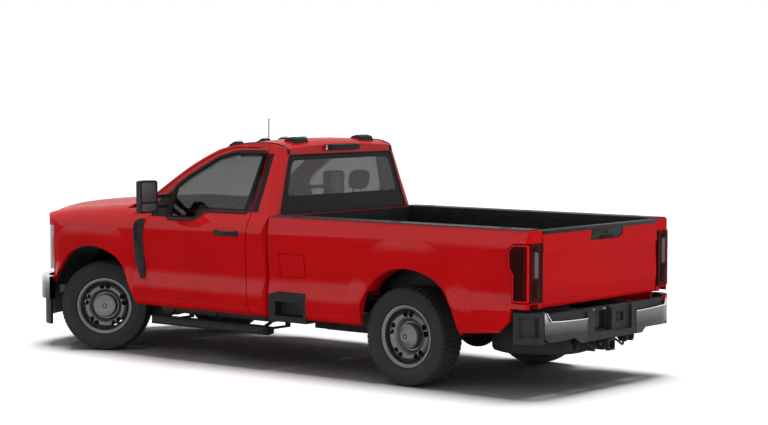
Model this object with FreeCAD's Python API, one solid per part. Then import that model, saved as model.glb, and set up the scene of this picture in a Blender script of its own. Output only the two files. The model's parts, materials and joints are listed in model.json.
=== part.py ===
# Pickup truck with a single cab, a long load bed and four-wheel drive, standing on its wheels.
# Millimetres. +X points forward, +Y to the truck's left, +Z up. The origin is on the ground,
# on the centreline, halfway between the faces of the two bumpers.
import FreeCAD, Part
import math
import os

V = FreeCAD.Vector

# Overall size and stance
WHEELBASE = 3597.0
FRONT_AXLE_X = 1974.0
REAR_AXLE_X = FRONT_AXLE_X - WHEELBASE

# Wheels and tyres
TYRE_RADIUS = 400.0
TYRE_HALF_WIDTH = 132.0
RIM_RADIUS = 249.0
RIM_HALF_WIDTH = 106.0
RIM_WALL = 11.0
FRONT_WHEEL_Y = 867.0
REAR_WHEEL_Y = 853.0
HUB_BORE_RADIUS = 64.0
HUB_CLEARANCE = 0.3
DISC_FACE = 40.0
WINDOW_COUNT = 5
WINDOW_CIRCLE = 176.0
WINDOW_RADIUS = 24.0
WINDOW_SPREAD_DEG = 9.0
REAR_HUB_REACH = 92.0
FRONT_HUB_REACH = 56.0

# Steering: the front wheels stand turned to the left
KINGPIN_Y = 760.0
STEER_REST_DEG = 32.0

# Body side, as (distance from the centreline, height) along its section
SILL_Z = 455.0
SILL_Y = 972.0
LOWER_CREASE_Z = 520.0
LOWER_CREASE_Y = 1003.0
BAND_LOW_Y = 1007.0
BAND_HIGH_Y = 992.0
MID_Y = 1001.0
CREASE_Y = 1012.0
CREASE_Z = 1146.0
CREASE_SLOPE = 0.0173
BELT_Y = 947.0
BELT_Z = 1300.0
SKIN = 12.0

# Cab
CAB_REAR_X = -168.0
CAB_WALL = 42.0
CAB_INNER_Y = 905.0
FLOOR_Z = 520.0
FLOOR_THICK = 30.0
TUNNEL_RISE = 130.0
COWL_Z = 1248.0
FIREWALL_X = 1470.0
ROOF_SKIN = 32.0
DITCH_Y = 690.0
GLASS = 6.0

# Doors
DOOR_GAP = 8.0
DOOR_BOTTOM_Z = 463.0
DOOR_REAR_TAPER = 0.2
HINGE_X = 1304.0
HINGE_Y = 960.0
HINGE_LEAN = 0.026
HINGE_PIN_RADIUS = 8.0
HINGE_CLEARANCE = 0.3
DOOR_HINGE_ZS = (650.0, 1080.0)
STRAP_HALF = 20.0
STRAP_ANGLE_DEG = 46.0
DOOR_SWEEP_RADIUS = 72.0
FENDER_SWEEP_RADIUS = 66.5

# Bonnet
BONNET_REAR_X = 1640.0
BONNET_HINGE_X = 1660.0
BONNET_HINGE_Z = 1284.0
BONNET_SKIN = 22.0
BONNET_GAP = 6.0
AIR_DAM_Z = 250.0
DEFLECTOR_Y = 850.0

# Load bed
BED_FRONT_X = -190.0
BED_REAR_X = -2836.0
BED_INNER_Y = 850.0
BED_FLOOR_Z = 765.0
BED_FLOOR_THICK = 30.0
RAIL_Z = 1297.0
RAIL_Y = 985.0
RAIL_INNER_Y = 828.0
HEADBOARD_X = -205.0
HEADBOARD_THICK = 38.0
WHEELHOUSE_Y = 641.0
TUB_WALL = 12.0
STAMPING = 6.0
CAP_THICK = 8.0
CAP_SKIRT = 5.0

# Tailgate
TAILGATE_HALF = 812.0
TAILGATE_BOTTOM_Z = 700.0
TAILGATE_TOP_Z = 1290.0
TAILGATE_THICK = 62.0
TAILGATE_HINGE_X = -2786.0
TAILGATE_HINGE_Z = 728.0
TAILGATE_PIN_RADIUS = 11.0
SIDE_GAP = 6.0
HANDLE_DEPTH = 16.0

# Fuel door, on the left bed side only
FUEL_X0 = -581.0
FUEL_X1 = -318.0
FUEL_Z0 = 804.0
FUEL_Z1 = 990.0
FUEL_DEPTH = 70.0
FUEL_SKIN = 6.0
FUEL_GAP = 6.5
FUEL_PIN_LOW_Y = 993.0
FUEL_PIN_HIGH_Y = 999.0
FUEL_PIN_RADIUS = 2.5

# Frame rails and what they carry
RAIL_OUT = 430.0
RAIL_WIDTH = 78.0
CROSS_HALF = 35.0
CROSS_DEPTH = 60.0
CROSS_MEMBERS = [(2600.0, 520.0), (1330.0, 340.0), (900.0, 355.0), (-100.0, 375.0), (-760.0, 330.0),
                 (-1250.0, 600.0), (-2260.0, 560.0), (-2700.0, 560.0)]
ENGINE_HALF = 250.0
GEARBOX_HALF = 110.0
SHAFT_RADIUS = 34.0
FRONT_SHAFT_RADIUS = 28.0
BED_CROSS_DEPTH = 32.0
EXHAUST_Y = -230.0
EXHAUST_Z = 282.0
EXHAUST_RADIUS = 30.0
MUFFLER_RADIUS = 78.0
TAIL_PIPE_RADIUS = 26.0
SPARE_X = -2260.0
SPARE_Z = 380.0
TANK_X0 = -720.0
TANK_X1 = -140.0
TANK_INNER_Y = 120.0

# Axles
AXLE_TUBE_RADIUS = 50.0
FRONT_TUBE_RADIUS = 42.0
KINGPIN_RADIUS = 13.0
SPRING_Y = 545.0
LEAF_HALF = 38.0
COIL_HEIGHT = 226.0
COIL_RADIUS = 60.0
COIL_WIRE = 14.0

# Running boards
BOARD_REAR_X = -130.0
BOARD_FRONT_X = 1226.0
BOARD_LEG_XS = (1150.0, 0.0)

# Mirrors
MIRROR_X = 975.0
MIRROR_DEPTH = 108.0
MIRROR_Y0 = 1145.0
MIRROR_Y1 = 1345.0
MIRROR_Z0 = 1288.0
MIRROR_Z1 = 1568.0


def closed(points):
    return Part.makePolygon(points + [points[0]])


def prism_y(points, y0, y1):
    face = Part.Face(closed([V(x, y0, z) for x, z in points]))
    return face.extrude(V(0, y1 - y0, 0))


def prism_x(points, x0, x1):
    face = Part.Face(closed([V(x0, y, z) for y, z in points]))
    return face.extrude(V(x1 - x0, 0, 0))


def prism_z(points, z0, z1):
    face = Part.Face(closed([V(x, y, z0) for x, y in points]))
    return face.extrude(V(0, 0, z1 - z0))


def box(x0, x1, y0, y1, z0, z1):
    low = V(min(x0, x1), min(y0, y1), min(z0, z1))
    return Part.makeBox(abs(x1 - x0), abs(y1 - y0), abs(z1 - z0), low)


def rod(a, b, radius):
    return Part.makeCylinder(radius, (b - a).Length, a, b - a)


def spline(points):
    curve = Part.BSplineCurve()
    curve.interpolate(points)
    return curve.toShape()


def line(a, b):
    return Part.LineSegment(a, b).toShape()


def arc(a, m, b):
    return Part.Arc(a, m, b).toShape()


def loft(wires, ruled=False):
    return Part.makeLoft(wires, True, ruled)


def fuse(shapes):
    return shapes[0].fuse(shapes[1:]).removeSplitter()


def mirrored(shape):
    return shape.mirror(V(0, 0, 0), V(0, 1, 0))


def both_sides(shapes):
    return list(shapes) + [mirrored(s) for s in shapes]


def interpolate(table, x):
    for (x0, v0), (x1, v1) in zip(table, table[1:]):
        if x <= x1:
            return v0 + (v1 - v0) * (x - x0) / (x1 - x0)
    return table[-1][1]


def save(name, shapes):
    solids = [solid for shape in shapes for solid in shape.Solids]
    result = solids[0] if len(solids) == 1 else Part.makeCompound(solids)
    result.exportStep("parts/%s.step" % name)
    volume = sum(solid.Volume for solid in solids) / 1e9
    print("%-18s %2d solids %8.4f m3 valid %s" % (name, len(solids), volume, result.isValid()))


# Body side section: the creases climb towards the back
def crease_z(x):
    return CREASE_Z - CREASE_SLOPE * x


def band_low_z(x):
    return 652.0 + max(0.0, -0.0245 * (x + 150.0))


def band_high_z(x):
    return 752.0 - 0.006 * x


def side_edges(x, inset=0.0):
    low = [V(x, SILL_Y - inset, SILL_Z), V(x, SILL_Y + 20 - inset, SILL_Z + 16),
           V(x, LOWER_CREASE_Y - inset, LOWER_CREASE_Z)]
    crease = crease_z(x)
    middle = (band_high_z(x) + crease) / 2
    high = [low[-1], V(x, BAND_LOW_Y - inset, band_low_z(x)), V(x, BAND_HIGH_Y - inset, band_high_z(x)),
            V(x, MID_Y - inset, middle), V(x, CREASE_Y - inset, crease)]
    return [spline(low), spline(high)]


def cab_side_wire(x, inner_y):
    crease = crease_z(x)
    shoulder = [V(x, CREASE_Y, crease), V(x, CREASE_Y - 9, crease + 50), V(x, CREASE_Y - 33, crease + 105),
                V(x, BELT_Y, BELT_Z)]
    edges = side_edges(x) + [spline(shoulder), line(V(x, BELT_Y, BELT_Z), V(x, inner_y, BELT_Z)),
                             line(V(x, inner_y, BELT_Z), V(x, inner_y, SILL_Z)),
                             line(V(x, inner_y, SILL_Z), V(x, SILL_Y, SILL_Z))]
    return Part.Wire(edges)


def cab_side(x0, x1, inner_y=CAB_INNER_Y):
    return loft([cab_side_wire(x0, inner_y), cab_side_wire(x1, inner_y)], True)


# Upper cab: half width, front and rear of the cab by height, then the crown of the roof
CAB_SECTIONS = [(1200.0, 975.0, 1575.0, -180.4), (1300.0, 947.0, 1447.0, -182.0),
                (1448.0, 893.0, 1250.0, -169.0), (1679.0, 806.0, 925.0, -149.0),
                (1842.0, 745.0, 605.0, -134.0), (1980.0, 694.0, 290.0, -122.0)]
CAB_CORNER = 80.0
SCREEN_BULGE = 70.0
ROOF_X0 = -300.0
ROOF_STEP = 100.0
ROOF_CROWN = [1745.0, 1832.0, 1893.0, 1918.0, 1924.0, 1924.0, 1919.0, 1908.0, 1891.0, 1868.0, 1842.0,
              1815.0,
              1788.0, 1761.0, 1734.0, 1707.0, 1680.0, 1653.0, 1626.0, 1599.0, 1572.0]
ROOF_DROP = 33.0


def cab_section_wire(z, half, front, rear, inset):
    y = half - inset
    xr = rear + inset
    xf = front - inset
    r = CAB_CORNER - inset * 0.6
    d = r * (1 - math.sqrt(0.5))
    xb = xf + SCREEN_BULGE
    fr = 45.0
    q = [V(xf - fr, y, z), V(xr + r, y, z), V(xr + d, y - d, z), V(xr, y - r, z),
         V(xr, -(y - r), z), V(xr + d, -(y - d), z), V(xr + r, -y, z), V(xf - fr, -y, z),
         V(xf - fr * 0.25, -(y - fr * 0.3), z), V(xf, -(y - fr), z), V(xb, 0, z),
         V(xf, y - fr, z), V(xf - fr * 0.25, y - fr * 0.3, z)]
    return Part.Wire([line(q[0], q[1]), arc(q[1], q[2], q[3]), line(q[3], q[4]), arc(q[4], q[5], q[6]),
                      line(q[6], q[7]), arc(q[7], q[8], q[9]), arc(q[9], q[10], q[11]),
                      arc(q[11], q[12], q[0])])


def under_roof(inset):
    """Everything below the crowned surface of the roof."""
    rows = []
    for i, crown in enumerate(ROOF_CROWN):
        x = ROOF_X0 + i * ROOF_STEP
        rows.append([V(x, y, crown - inset - ROOF_DROP * (y / 740.0) ** 2)
                     for y in range(-1050, 1051, 150)])
    surface = Part.BSplineSurface()
    surface.interpolate(rows)
    return surface.toShape().extrude(V(0, 0, -800))


def upper_cab(inset, roof_inset=None):
    roof_inset = inset if roof_inset is None else roof_inset
    walls = loft([cab_section_wire(z, half, front, rear, inset) for z, half, front, rear in CAB_SECTIONS])
    return walls.common(under_roof(roof_inset))


# Side outline of the left door. Its rear edge is drafted so that it swings clear of the pillar.
PILLAR_LINE = [(400.0, 1850.0), (591.0, 1803.0), (903.0, 1643.0), (1226.0, 1414.0), (1330.0, 1338.0)]
DOOR_REAR_LINE = [(30.0, DOOR_BOTTOM_Z), (66.0, 1109.0), (47.0, 1300.0), (-19.0, 1852.0)]


def hinge_x(z):
    return HINGE_X + HINGE_LEAN * (z - DOOR_BOTTOM_Z)


def door_wire(y, gap):
    shift = (CREASE_Y - y) * DOOR_REAR_TAPER - gap
    rear = [V(x + shift, y, z) for x, z in DOOR_REAR_LINE]
    rear[0] = V(rear[0].x, y, DOOR_BOTTOM_Z - gap)
    rear[-1] = V(rear[-1].x, y, DOOR_REAR_LINE[-1][1] + gap)
    pillar = [V(x + gap * 0.57, y, z + gap * 0.82) for x, z in PILLAR_LINE]
    foot = V(hinge_x(DOOR_BOTTOM_Z), y, DOOR_BOTTOM_Z - gap)
    return Part.Wire([spline(rear), line(rear[-1], pillar[0]), spline(pillar), line(pillar[-1], foot),
                      line(foot, rear[0])])


def door_volume(gap):
    return loft([door_wire(1120.0, gap), door_wire(560.0, gap)], True)


def hinge_cylinder(radius, z0=300.0, z1=1500.0):
    return rod(V(hinge_x(z0), HINGE_Y, z0), V(hinge_x(z1), HINGE_Y, z1), radius)


def door_space():
    """The room the left door needs: its outline with a gap, less what sits behind its hinge line."""
    return door_volume(DOOR_GAP).cut(hinge_cylinder(FENDER_SWEEP_RADIUS))


WINDOW_LINE = [(105.0, 1322.0), (540.0, 1320.0), (606.0, 1306.0), (694.0, 1246.0), (760.0, 1237.0),
               (1012.0, 1236.0), (1012.0, 1490.0), (880.0, 1588.0), (578.0, 1757.0), (420.0, 1800.0),
               (330.0, 1810.0), (48.0, 1812.0)]
SAIL_LINE = [(1030.0, 1240.0), (1228.0, 1240.0), (1228.0, 1330.0), (1180.0, 1372.0), (1030.0, 1480.0)]


def cab_shell():
    outer = upper_cab(0.0)
    shell = outer.cut(upper_cab(CAB_WALL))
    quarter = cab_side(CAB_REAR_X, 200.0)
    corner = prism_z([(CAB_REAR_X, 930.0), (CAB_REAR_X + 24.0, 985.0), (CAB_REAR_X + 75.0, 1030.0),
                      (300.0, 1030.0), (300.0, 700.0), (CAB_REAR_X, 700.0)], 300.0, 1400.0)
    quarter = quarter.common(corner)
    rear_low = prism_y([(CAB_REAR_X - 1, FLOOR_Z), (CAB_REAR_X - 14, BELT_Z),
                        (CAB_REAR_X - 14 + CAB_WALL, BELT_Z),
                        (CAB_REAR_X - 1 + CAB_WALL, FLOOR_Z)], 0.0, CAB_INNER_Y + 25)
    sill = box(CAB_REAR_X, FIREWALL_X - 60, 780.0, CAB_INNER_Y - 12, 440.0, FLOOR_Z + FLOOR_THICK)
    post = box(hinge_x(800) - 64, FIREWALL_X - 20, 840.0, HINGE_Y - 66, 440.0, COWL_Z - 60)
    striker = box(CAB_REAR_X + CAB_WALL - 2, 40.0, 840.0, CAB_INNER_Y - 10, FLOOR_Z, BELT_Z)
    cowl_side = box(1290.0, BONNET_REAR_X - 40, 780.0, 880.0, 1120.0, COWL_Z)
    left = [quarter, rear_low, sill, post, striker, cowl_side]
    for z in DOOR_HINGE_ZS:
        left += hinge_bracket(z)
    walls = fuse([shell] + left + [mirrored(s) for s in left])
    floor = prism_x([(-790, FLOOR_Z), (-200, FLOOR_Z), (-150, FLOOR_Z + TUNNEL_RISE),
                     (150, FLOOR_Z + TUNNEL_RISE), (200, FLOOR_Z),
                     (790, FLOOR_Z), (790, FLOOR_Z + FLOOR_THICK), (225, FLOOR_Z + FLOOR_THICK),
                     (170, FLOOR_Z + TUNNEL_RISE + FLOOR_THICK),
                     (-170, FLOOR_Z + TUNNEL_RISE + FLOOR_THICK), (-225, FLOOR_Z + FLOOR_THICK),
                     (-790, FLOOR_Z + FLOOR_THICK)], CAB_REAR_X + 20, FIREWALL_X)
    firewall = box(FIREWALL_X, FIREWALL_X + 30, -845.0, 845.0, FLOOR_Z, COWL_Z - 2)
    firewall = firewall.cut(prism_x([(-200, FLOOR_Z - 1), (-150, FLOOR_Z + TUNNEL_RISE),
                                     (150, FLOOR_Z + TUNNEL_RISE),
                                     (200, FLOOR_Z - 1)], FIREWALL_X - 5, FIREWALL_X + 35))
    cowl = box(FIREWALL_X - 30, BONNET_REAR_X - 40, -845.0, 845.0, COWL_Z - 26, COWL_Z)
    body = fuse([walls, floor, firewall, cowl])
    space = door_space()
    wing = front_body(-3.0).cut(front_body(SKIN + 3.0)).common(box(1250.0, 1700.0, 895.0, 1100.0, 1000.0,
                                                                   1400.0))
    body = body.cut([space, mirrored(space), wing, mirrored(wing), screen_opening(), rear_window_opening(),
                     roof_opening()])
    body = body.fuse(both_sides(bonnet_bracket()))
    return [max(body.Solids, key=lambda s: s.Volume)]


def hinge_rod(z, half, radius):
    """Round bar along the leaning hinge line, half its length above and below a height."""
    return rod(V(hinge_x(z - half), HINGE_Y, z - half), V(hinge_x(z + half), HINGE_Y, z + half), radius)


def hinge_bracket(z):
    """Pin of a door hinge with the two plates that hold it on the hinge post."""
    x = hinge_x(z)
    pin = hinge_rod(z, 36, HINGE_PIN_RADIUS)
    plates = [prism_z([(x - 14, HINGE_Y + 12), (x + 14, HINGE_Y + 12), (x + 44, HINGE_Y - 70),
                       (x - 6, HINGE_Y - 70)],
                      z + a, z + a + 8) for a in (-36, 28)]
    return [pin] + plates


def door_hinge(z):
    """Leaf of a door hinge: a ring round the pin and a strap to the door's front edge."""
    x = hinge_x(z)
    ring = hinge_rod(z, STRAP_HALF, HINGE_PIN_RADIUS + 9)
    strap = box(-84, -6, -4, 4, -STRAP_HALF, STRAP_HALF)
    strap.rotate(V(0, 0, 0), V(0, 0, 1), STRAP_ANGLE_DEG)
    strap.translate(V(x, HINGE_Y, z))
    leaf = fuse([ring, strap])
    return leaf, hinge_rod(z, 40, HINGE_PIN_RADIUS + HINGE_CLEARANCE)


def door():
    low = cab_side(-60.0, 1345.0)
    frame = upper_cab(0.0).cut(upper_cab(CAB_WALL)).common(box(-200, 1700, DITCH_Y + DOOR_GAP, 1100,
                                                               BELT_Z - 80, 2000))
    panel = low.fuse(frame).common(door_volume(0.0))
    panel = panel.cut([hinge_cylinder(DOOR_SWEEP_RADIUS), prism_y(WINDOW_LINE, 400, 1100),
                       prism_y(SAIL_LINE, 400, 1100)])
    body = max(panel.Solids, key=lambda s: s.Volume)
    for z in DOOR_HINGE_ZS:
        leaf, hole = door_hinge(z)
        body = body.fuse(leaf).cut(hole)
    return max(body.removeSplitter().Solids, key=lambda s: s.Volume)


def door_glass():
    pane = upper_cab(14.0).cut(upper_cab(14.0 + GLASS)).common(prism_y(WINDOW_LINE, 400, 1100))
    return max(pane.Solids, key=lambda s: s.Volume)


def mirror():
    sail = upper_cab(4.0).cut(upper_cab(24.0)).common(prism_y(SAIL_LINE, 400, 1100))
    sail = max(sail.Solids, key=lambda s: s.Volume)
    x0, x1 = MIRROR_X, MIRROR_X + MIRROR_DEPTH
    y0, y1, z0, z1 = MIRROR_Y0, MIRROR_Y1, MIRROR_Z0, MIRROR_Z1
    head = prism_z([(x0, y0), (x1 - 20, y0 + 6), (x1, y0 + 50), (x1 - 6, y1 - 70), (x1 - 45, y1 - 12),
                    (x0, y1)], z0, z1)
    head = head.makeFillet(18.0, [e for e in head.Edges if abs(e.tangentAt(e.FirstParameter).z) < 0.1
                                  and e.CenterOfMass.x > x0 + 1])
    arms = [box(1036, 1072, 880.0, y0 + 20, z, z + 32).cut(upper_cab(14.0)) for z in (1318.0, 1406.0)]
    return [fuse([sail, head] + arms)]


# Windscreen and rear window, as prisms across and along the truck
def screen_opening():
    return prism_x([(-835, 1262), (835, 1262), (690, 1832), (-690, 1832)], 400.0, 1800.0)


def windscreen():
    glass = upper_cab(10.0).cut(upper_cab(10.0 + GLASS)).common(screen_opening())
    return [max(glass.Solids, key=lambda s: s.Volume)]


def rear_window_outline():
    return [(-834, 1306), (834, 1306), (676, 1792), (-676, 1792)]


def rear_window_opening():
    return prism_x(rear_window_outline(), -260.0, 40.0)


def rear_window():
    glass = upper_cab(4.0).cut(upper_cab(4.0 + GLASS)).common(rear_window_opening())
    return [max(glass.Solids, key=lambda s: s.Volume)]


def roof_opening():
    return prism_x([(-DITCH_Y, 1836), (DITCH_Y, 1836), (DITCH_Y, 2100), (-DITCH_Y, 2100)], -90.0, 520.0)


def roof_panel():
    skin = upper_cab(0.0).cut(upper_cab(CAB_WALL, ROOF_SKIN)).common(roof_opening())
    return [max(skin.Solids, key=lambda s: s.Volume)]


# Front body: one smooth form, cut into wings and bonnet
FENDER_TOP = [(1100.0, 1345.0), (1500.0, 1316.0), (1677.0, 1303.0), (2154.0, 1266.0), (2517.0, 1236.0),
              (2720.0, 1196.0), (2950.0, 1130.0)]
DOME_TOP = [(1100.0, 1392.0), (1640.0, 1362.0), (2062.0, 1338.0), (2517.0, 1305.0), (2720.0, 1284.0),
            (2950.0, 1228.0)]
FRONT_STATIONS = [1180.0, 1500.0, 1800.0, 2154.0, 2450.0, 2700.0, 2950.0]
FRONT_PLAN = [(2868.0, 0.0), (2856.0, 300.0), (2806.0, 560.0), (2738.0, 740.0), (2652.0, 872.0),
              (2562.0, 952.0), (2420.0, 1004.0), (2250.0, 1016.0)]
PLAN_NORMAL = [(1.0, 0.0), (1.0, 0.08), (0.97, 0.25), (0.87, 0.5), (0.72, 0.7), (0.5, 0.87), (0.2, 0.98),
               (0.0, 1.0)]


def front_body_wire(x, inset):
    crease = crease_z(x)
    top = interpolate(FENDER_TOP, x)
    dome = interpolate(DOME_TOP, x)
    rise = top - crease
    shoulder = [V(x, CREASE_Y - inset, crease), V(x, 1002 - inset, crease + 0.27 * rise),
                V(x, 972 - inset * 0.9, crease + 0.56 * rise - inset * 0.3),
                V(x, 920 - inset * 0.5, crease + 0.83 * rise - inset * 0.8), V(x, 850, top - inset),
                V(x, 640, top + 0.42 * (dome - top) - inset), V(x, 400, dome - 8 - inset),
                V(x, 200, dome + 6 - inset), V(x, 0, dome + 10 - inset)]
    base = SILL_Z - inset
    edges = side_edges(x, inset)
    if inset:
        edges = [line(V(x, SILL_Y - inset, base), V(x, SILL_Y - inset, SILL_Z))] + edges
        corner = [line(V(x, 0, base), V(x, SILL_Y - inset, base))]
    else:
        corner = [line(V(x, 0, base), V(x, SILL_Y, base))]
    return Part.Wire(corner + edges + [spline(shoulder), line(V(x, 0, dome + 10 - inset), V(x, 0, base))])


def front_plan(inset, z0, z1):
    points = [(x - inset * nx, y - inset * ny) for (x, y), (nx, ny) in zip(FRONT_PLAN, PLAN_NORMAL)]
    curve = spline([V(x, y, z0) for x, y in points])
    ends = [V(points[-1][0], points[-1][1], z0), V(1000, points[-1][1], z0), V(1000, 0, z0),
            V(points[0][0], 0, z0)]
    wire = Part.Wire([curve] + [line(a, b) for a, b in zip(ends, ends[1:])])
    return Part.Face(wire).extrude(V(0, 0, z1 - z0))


def front_band(inset, thick, z0, z1):
    """Curved band that follows the plan of the front end, left half."""
    return front_plan(inset, z0, z1).cut(front_plan(inset + thick, z0 - 1, z1 + 1))


def front_body(inset):
    return loft([front_body_wire(x, inset) for x in FRONT_STATIONS]).common(front_plan(inset, 300.0,
                                                                                       1500.0))


BONNET_EDGE = [(1400.0, 812.0), (2300.0, 806.0), (2560.0, 780.0), (2700.0, 700.0), (2800.0, 560.0),
               (2990.0, 560.0)]
LAMP_TOP_Z = 1104.0
LAMP_BOTTOM_Z = 700.0
LAMP_REAR_X = 2466.0
GRILLE_HALF = 560.0
GRILLE_TOP_Z = 1144.0


def arch(points, axle_x, y0=500.0, y1=1100.0):
    ring = [V(axle_x + x, y0, TYRE_RADIUS + z) for x, z in points]
    wire = Part.Wire([spline(ring), line(ring[-1], ring[0])])
    return Part.Face(wire).extrude(V(0, y1 - y0, 0))


FRONT_ARCH = [(500.0, -60.0), (452.0, 190.0), (396.0, 300.0), (268.0, 460.0), (-7.0, 543.0),
              (-320.0, 465.0),
              (-486.0, 270.0), (-579.0, 50.0), (-600.0, -60.0)]
REAR_ARCH = [(436.0, -60.0), (430.0, 50.0), (398.0, 270.0), (262.0, 455.0), (6.0, 543.0), (-270.0, 490.0),
             (-443.0, 341.0), (-556.0, 80.0), (-572.0, -60.0)]


def front_fender():
    shell = front_body(0.0).cut(front_body(SKIN))
    bonnet_zone = prism_z([(1000.0, 0.0), (1000.0, BONNET_EDGE[0][1])] + BONNET_EDGE + [(2990.0, 0.0)], 0.0,
                          2000.0)
    behind = prism_y([(1000, 300), (hinge_x(300), 300), (hinge_x(1500), 1500), (1000, 1500)], 0, 1200)
    behind = behind.cut(hinge_cylinder(FENDER_SWEEP_RADIUS))
    lamp_zone = box(LAMP_REAR_X, 3000.0, 0.0, 1100.0, 300.0, LAMP_TOP_Z)
    rear_top = box(1000.0, 1420.0, 0.0, 900.0, 1000.0, 1500.0)
    low_front = box(2420.0, 3000.0, 0.0, 1100.0, 300.0, 640.0)
    cowl_zone = box(1200.0, BONNET_REAR_X - 40, 0.0, 895.0, 1000.0, 1500.0)
    skin = shell.cut([bonnet_zone, behind, lamp_zone, rear_top, low_front, cowl_zone,
                      arch(FRONT_ARCH, FRONT_AXLE_X)])
    skin = max(skin.Solids, key=lambda s: s.Volume)
    edge_y = BONNET_EDGE[0][1]
    flange = box(BONNET_REAR_X - 40, 2420.0, edge_y, edge_y + 14, 1100.0, 1400.0).common(front_body(4.0))
    wing = skin.fuse(flange)
    return max(wing.Solids, key=lambda s: s.Volume)


def bonnet():
    shell = front_body(0.0).cut(front_body(BONNET_SKIN))
    edge = [(x, y - BONNET_GAP) for x, y in BONNET_EDGE]
    zone = prism_z([(BONNET_REAR_X, 0.0), (BONNET_REAR_X, edge[0][1])] + edge[1:] + [(2990.0, 0.0)], 1150.0,
                   1500.0)
    half = shell.common(zone)
    half = max(half.Solids, key=lambda s: s.Volume)
    top = fuse([half, mirrored(half)])
    arms = []
    holes = []
    for y in (-700.0, 700.0):
        ring = rod(V(BONNET_HINGE_X, y - 12, BONNET_HINGE_Z), V(BONNET_HINGE_X, y + 12, BONNET_HINGE_Z),
                   15.0)
        strap = box(BONNET_HINGE_X - 6, BONNET_HINGE_X + 90, y - 12, y + 12, BONNET_HINGE_Z - 6,
                    BONNET_HINGE_Z + 34)
        arms.append(fuse([ring, strap.common(front_body_pair(BONNET_SKIN - 4))]))
        holes.append(rod(V(BONNET_HINGE_X, y - 40, BONNET_HINGE_Z),
                         V(BONNET_HINGE_X, y + 40, BONNET_HINGE_Z),
                         HINGE_PIN_RADIUS + HINGE_CLEARANCE))
    body = top.fuse(arms).cut(holes)
    return [max(body.Solids, key=lambda s: s.Volume)]


def front_body_pair(inset):
    half = front_body(inset)
    return half.fuse(mirrored(half))


def bonnet_bracket():
    """Pin of the left bonnet hinge and its two cheeks on the cowl."""
    y = 700.0
    pin = rod(V(BONNET_HINGE_X, y - 26, BONNET_HINGE_Z), V(BONNET_HINGE_X, y + 26, BONNET_HINGE_Z),
              HINGE_PIN_RADIUS)
    x, z = BONNET_HINGE_X, BONNET_HINGE_Z
    foot_x = BONNET_REAR_X - 60
    outline = [(x + 12, z - 12), (x + 12, z + 10), (x - 10, z + 10), (x - 10, z - 12), (x - 28, z - 34),
               (foot_x, COWL_Z - 4), (foot_x, COWL_Z - 26), (x - 20, COWL_Z - 26)]
    cheeks = [prism_y(outline, y + a, y + a + 8) for a in (-26, 18)]
    return [pin] + cheeks


def arch_liner():
    thick = 8.0
    outer = [(x * (1 + thick / math.hypot(x, z)), z * (1 + thick / math.hypot(x, z))) for x,
             z in FRONT_ARCH]
    liner = arch(outer, FRONT_AXLE_X, 640.0).cut(arch(FRONT_ARCH, FRONT_AXLE_X, 630.0))
    liner = liner.common(box(FIREWALL_X + 33, 2440, 600, 1100, 470, 1000)).common(front_body(SKIN))
    return max(liner.Solids, key=lambda s: s.Volume)


def headlamp():
    band = front_band(3.0, 70.0, LAMP_BOTTOM_Z, LAMP_TOP_Z)
    zone = box(LAMP_REAR_X, 3000.0, GRILLE_HALF + 4, 1100.0, LAMP_BOTTOM_Z, LAMP_TOP_Z)
    return max(band.common(zone).Solids, key=lambda s: s.Volume)


def grille():
    band = front_band(6.0, 46.0, 652.0, GRILLE_TOP_Z).common(box(2000, 3000, 0, GRILLE_HALF, 0, 2000))
    slots = []
    rows = [(676.0, 786.0), (822.0, 912.0), (948.0, 1038.0), (1070.0, 1118.0)]
    for low, high in rows:
        slots.append(box(2000, 3000, -1, GRILLE_HALF - 40, low, high))
    frame = band.cut(slots)
    back = front_band(52.0, 21.0, 652.0, GRILLE_TOP_Z).common(box(2000, 3000, 0, GRILLE_HALF, 0, 2000))
    half = fuse([frame, back])
    return [fuse([half, mirrored(half)])]


def nose_support():
    """Panel behind the grille and lamps, standing on the ends of the frame rails."""
    band = front_band(73.0, 20.0, 600.0, 1100.0).common(box(2440, 3000, 0, 930, 0, 2000))
    leg = prism_y([(2620, 600), (2700, 600), (2762, 640), (2762, 700), (2620, 700)], RAIL_OUT - RAIL_WIDTH,
                  RAIL_OUT)
    half = fuse([band, leg])
    return [fuse([half, mirrored(half)])]


def front_bumper():
    band = front_band(-76.0, 66.0, 436.0, 640.0).common(box(2436, 3000, 0, 1100, 0, 2000))
    mount = box(2700.0, 2862.0, RAIL_OUT - RAIL_WIDTH, RAIL_OUT, 500.0, 580.0)
    half = band.fuse(mount).removeSplitter()
    return [fuse([half, mirrored(half)])]


def air_dam():
    band = front_band(-40.0, 26.0, 200.0, 436.0).common(box(2470, 3000, 0, 1100, 0, 2000))
    band = band.cut(box(2400, 3000, -1, DEFLECTOR_Y, 190, AIR_DAM_Z))
    return [fuse([band, mirrored(band)])]


# Load bed
def bed_side_wire(x):
    crease = crease_z(x)
    shoulder = [V(x, CREASE_Y, crease), V(x, CREASE_Y - 8, crease + 0.35 * (RAIL_Z - 22 - crease)),
                V(x, RAIL_Y + 6, RAIL_Z - 22)]
    inner = [V(x, RAIL_Y + 6, RAIL_Z - 22), V(x, RAIL_Y - 4, RAIL_Z), V(x, RAIL_INNER_Y, RAIL_Z),
             V(x, RAIL_INNER_Y, RAIL_Z - 34), V(x, BED_INNER_Y, RAIL_Z - 40),
             V(x, BED_INNER_Y, BED_FLOOR_Z - BED_FLOOR_THICK),
             V(x, BAND_HIGH_Y - SKIN, BED_FLOOR_Z - BED_FLOOR_THICK), V(x, BAND_HIGH_Y - SKIN, SILL_Z + 30),
             V(x, SILL_Y - SKIN, SILL_Z), V(x, SILL_Y, SILL_Z)]
    return Part.Wire(side_edges(x) + [spline(shoulder)] + [line(a, b) for a, b in zip(inner, inner[1:])])


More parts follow.
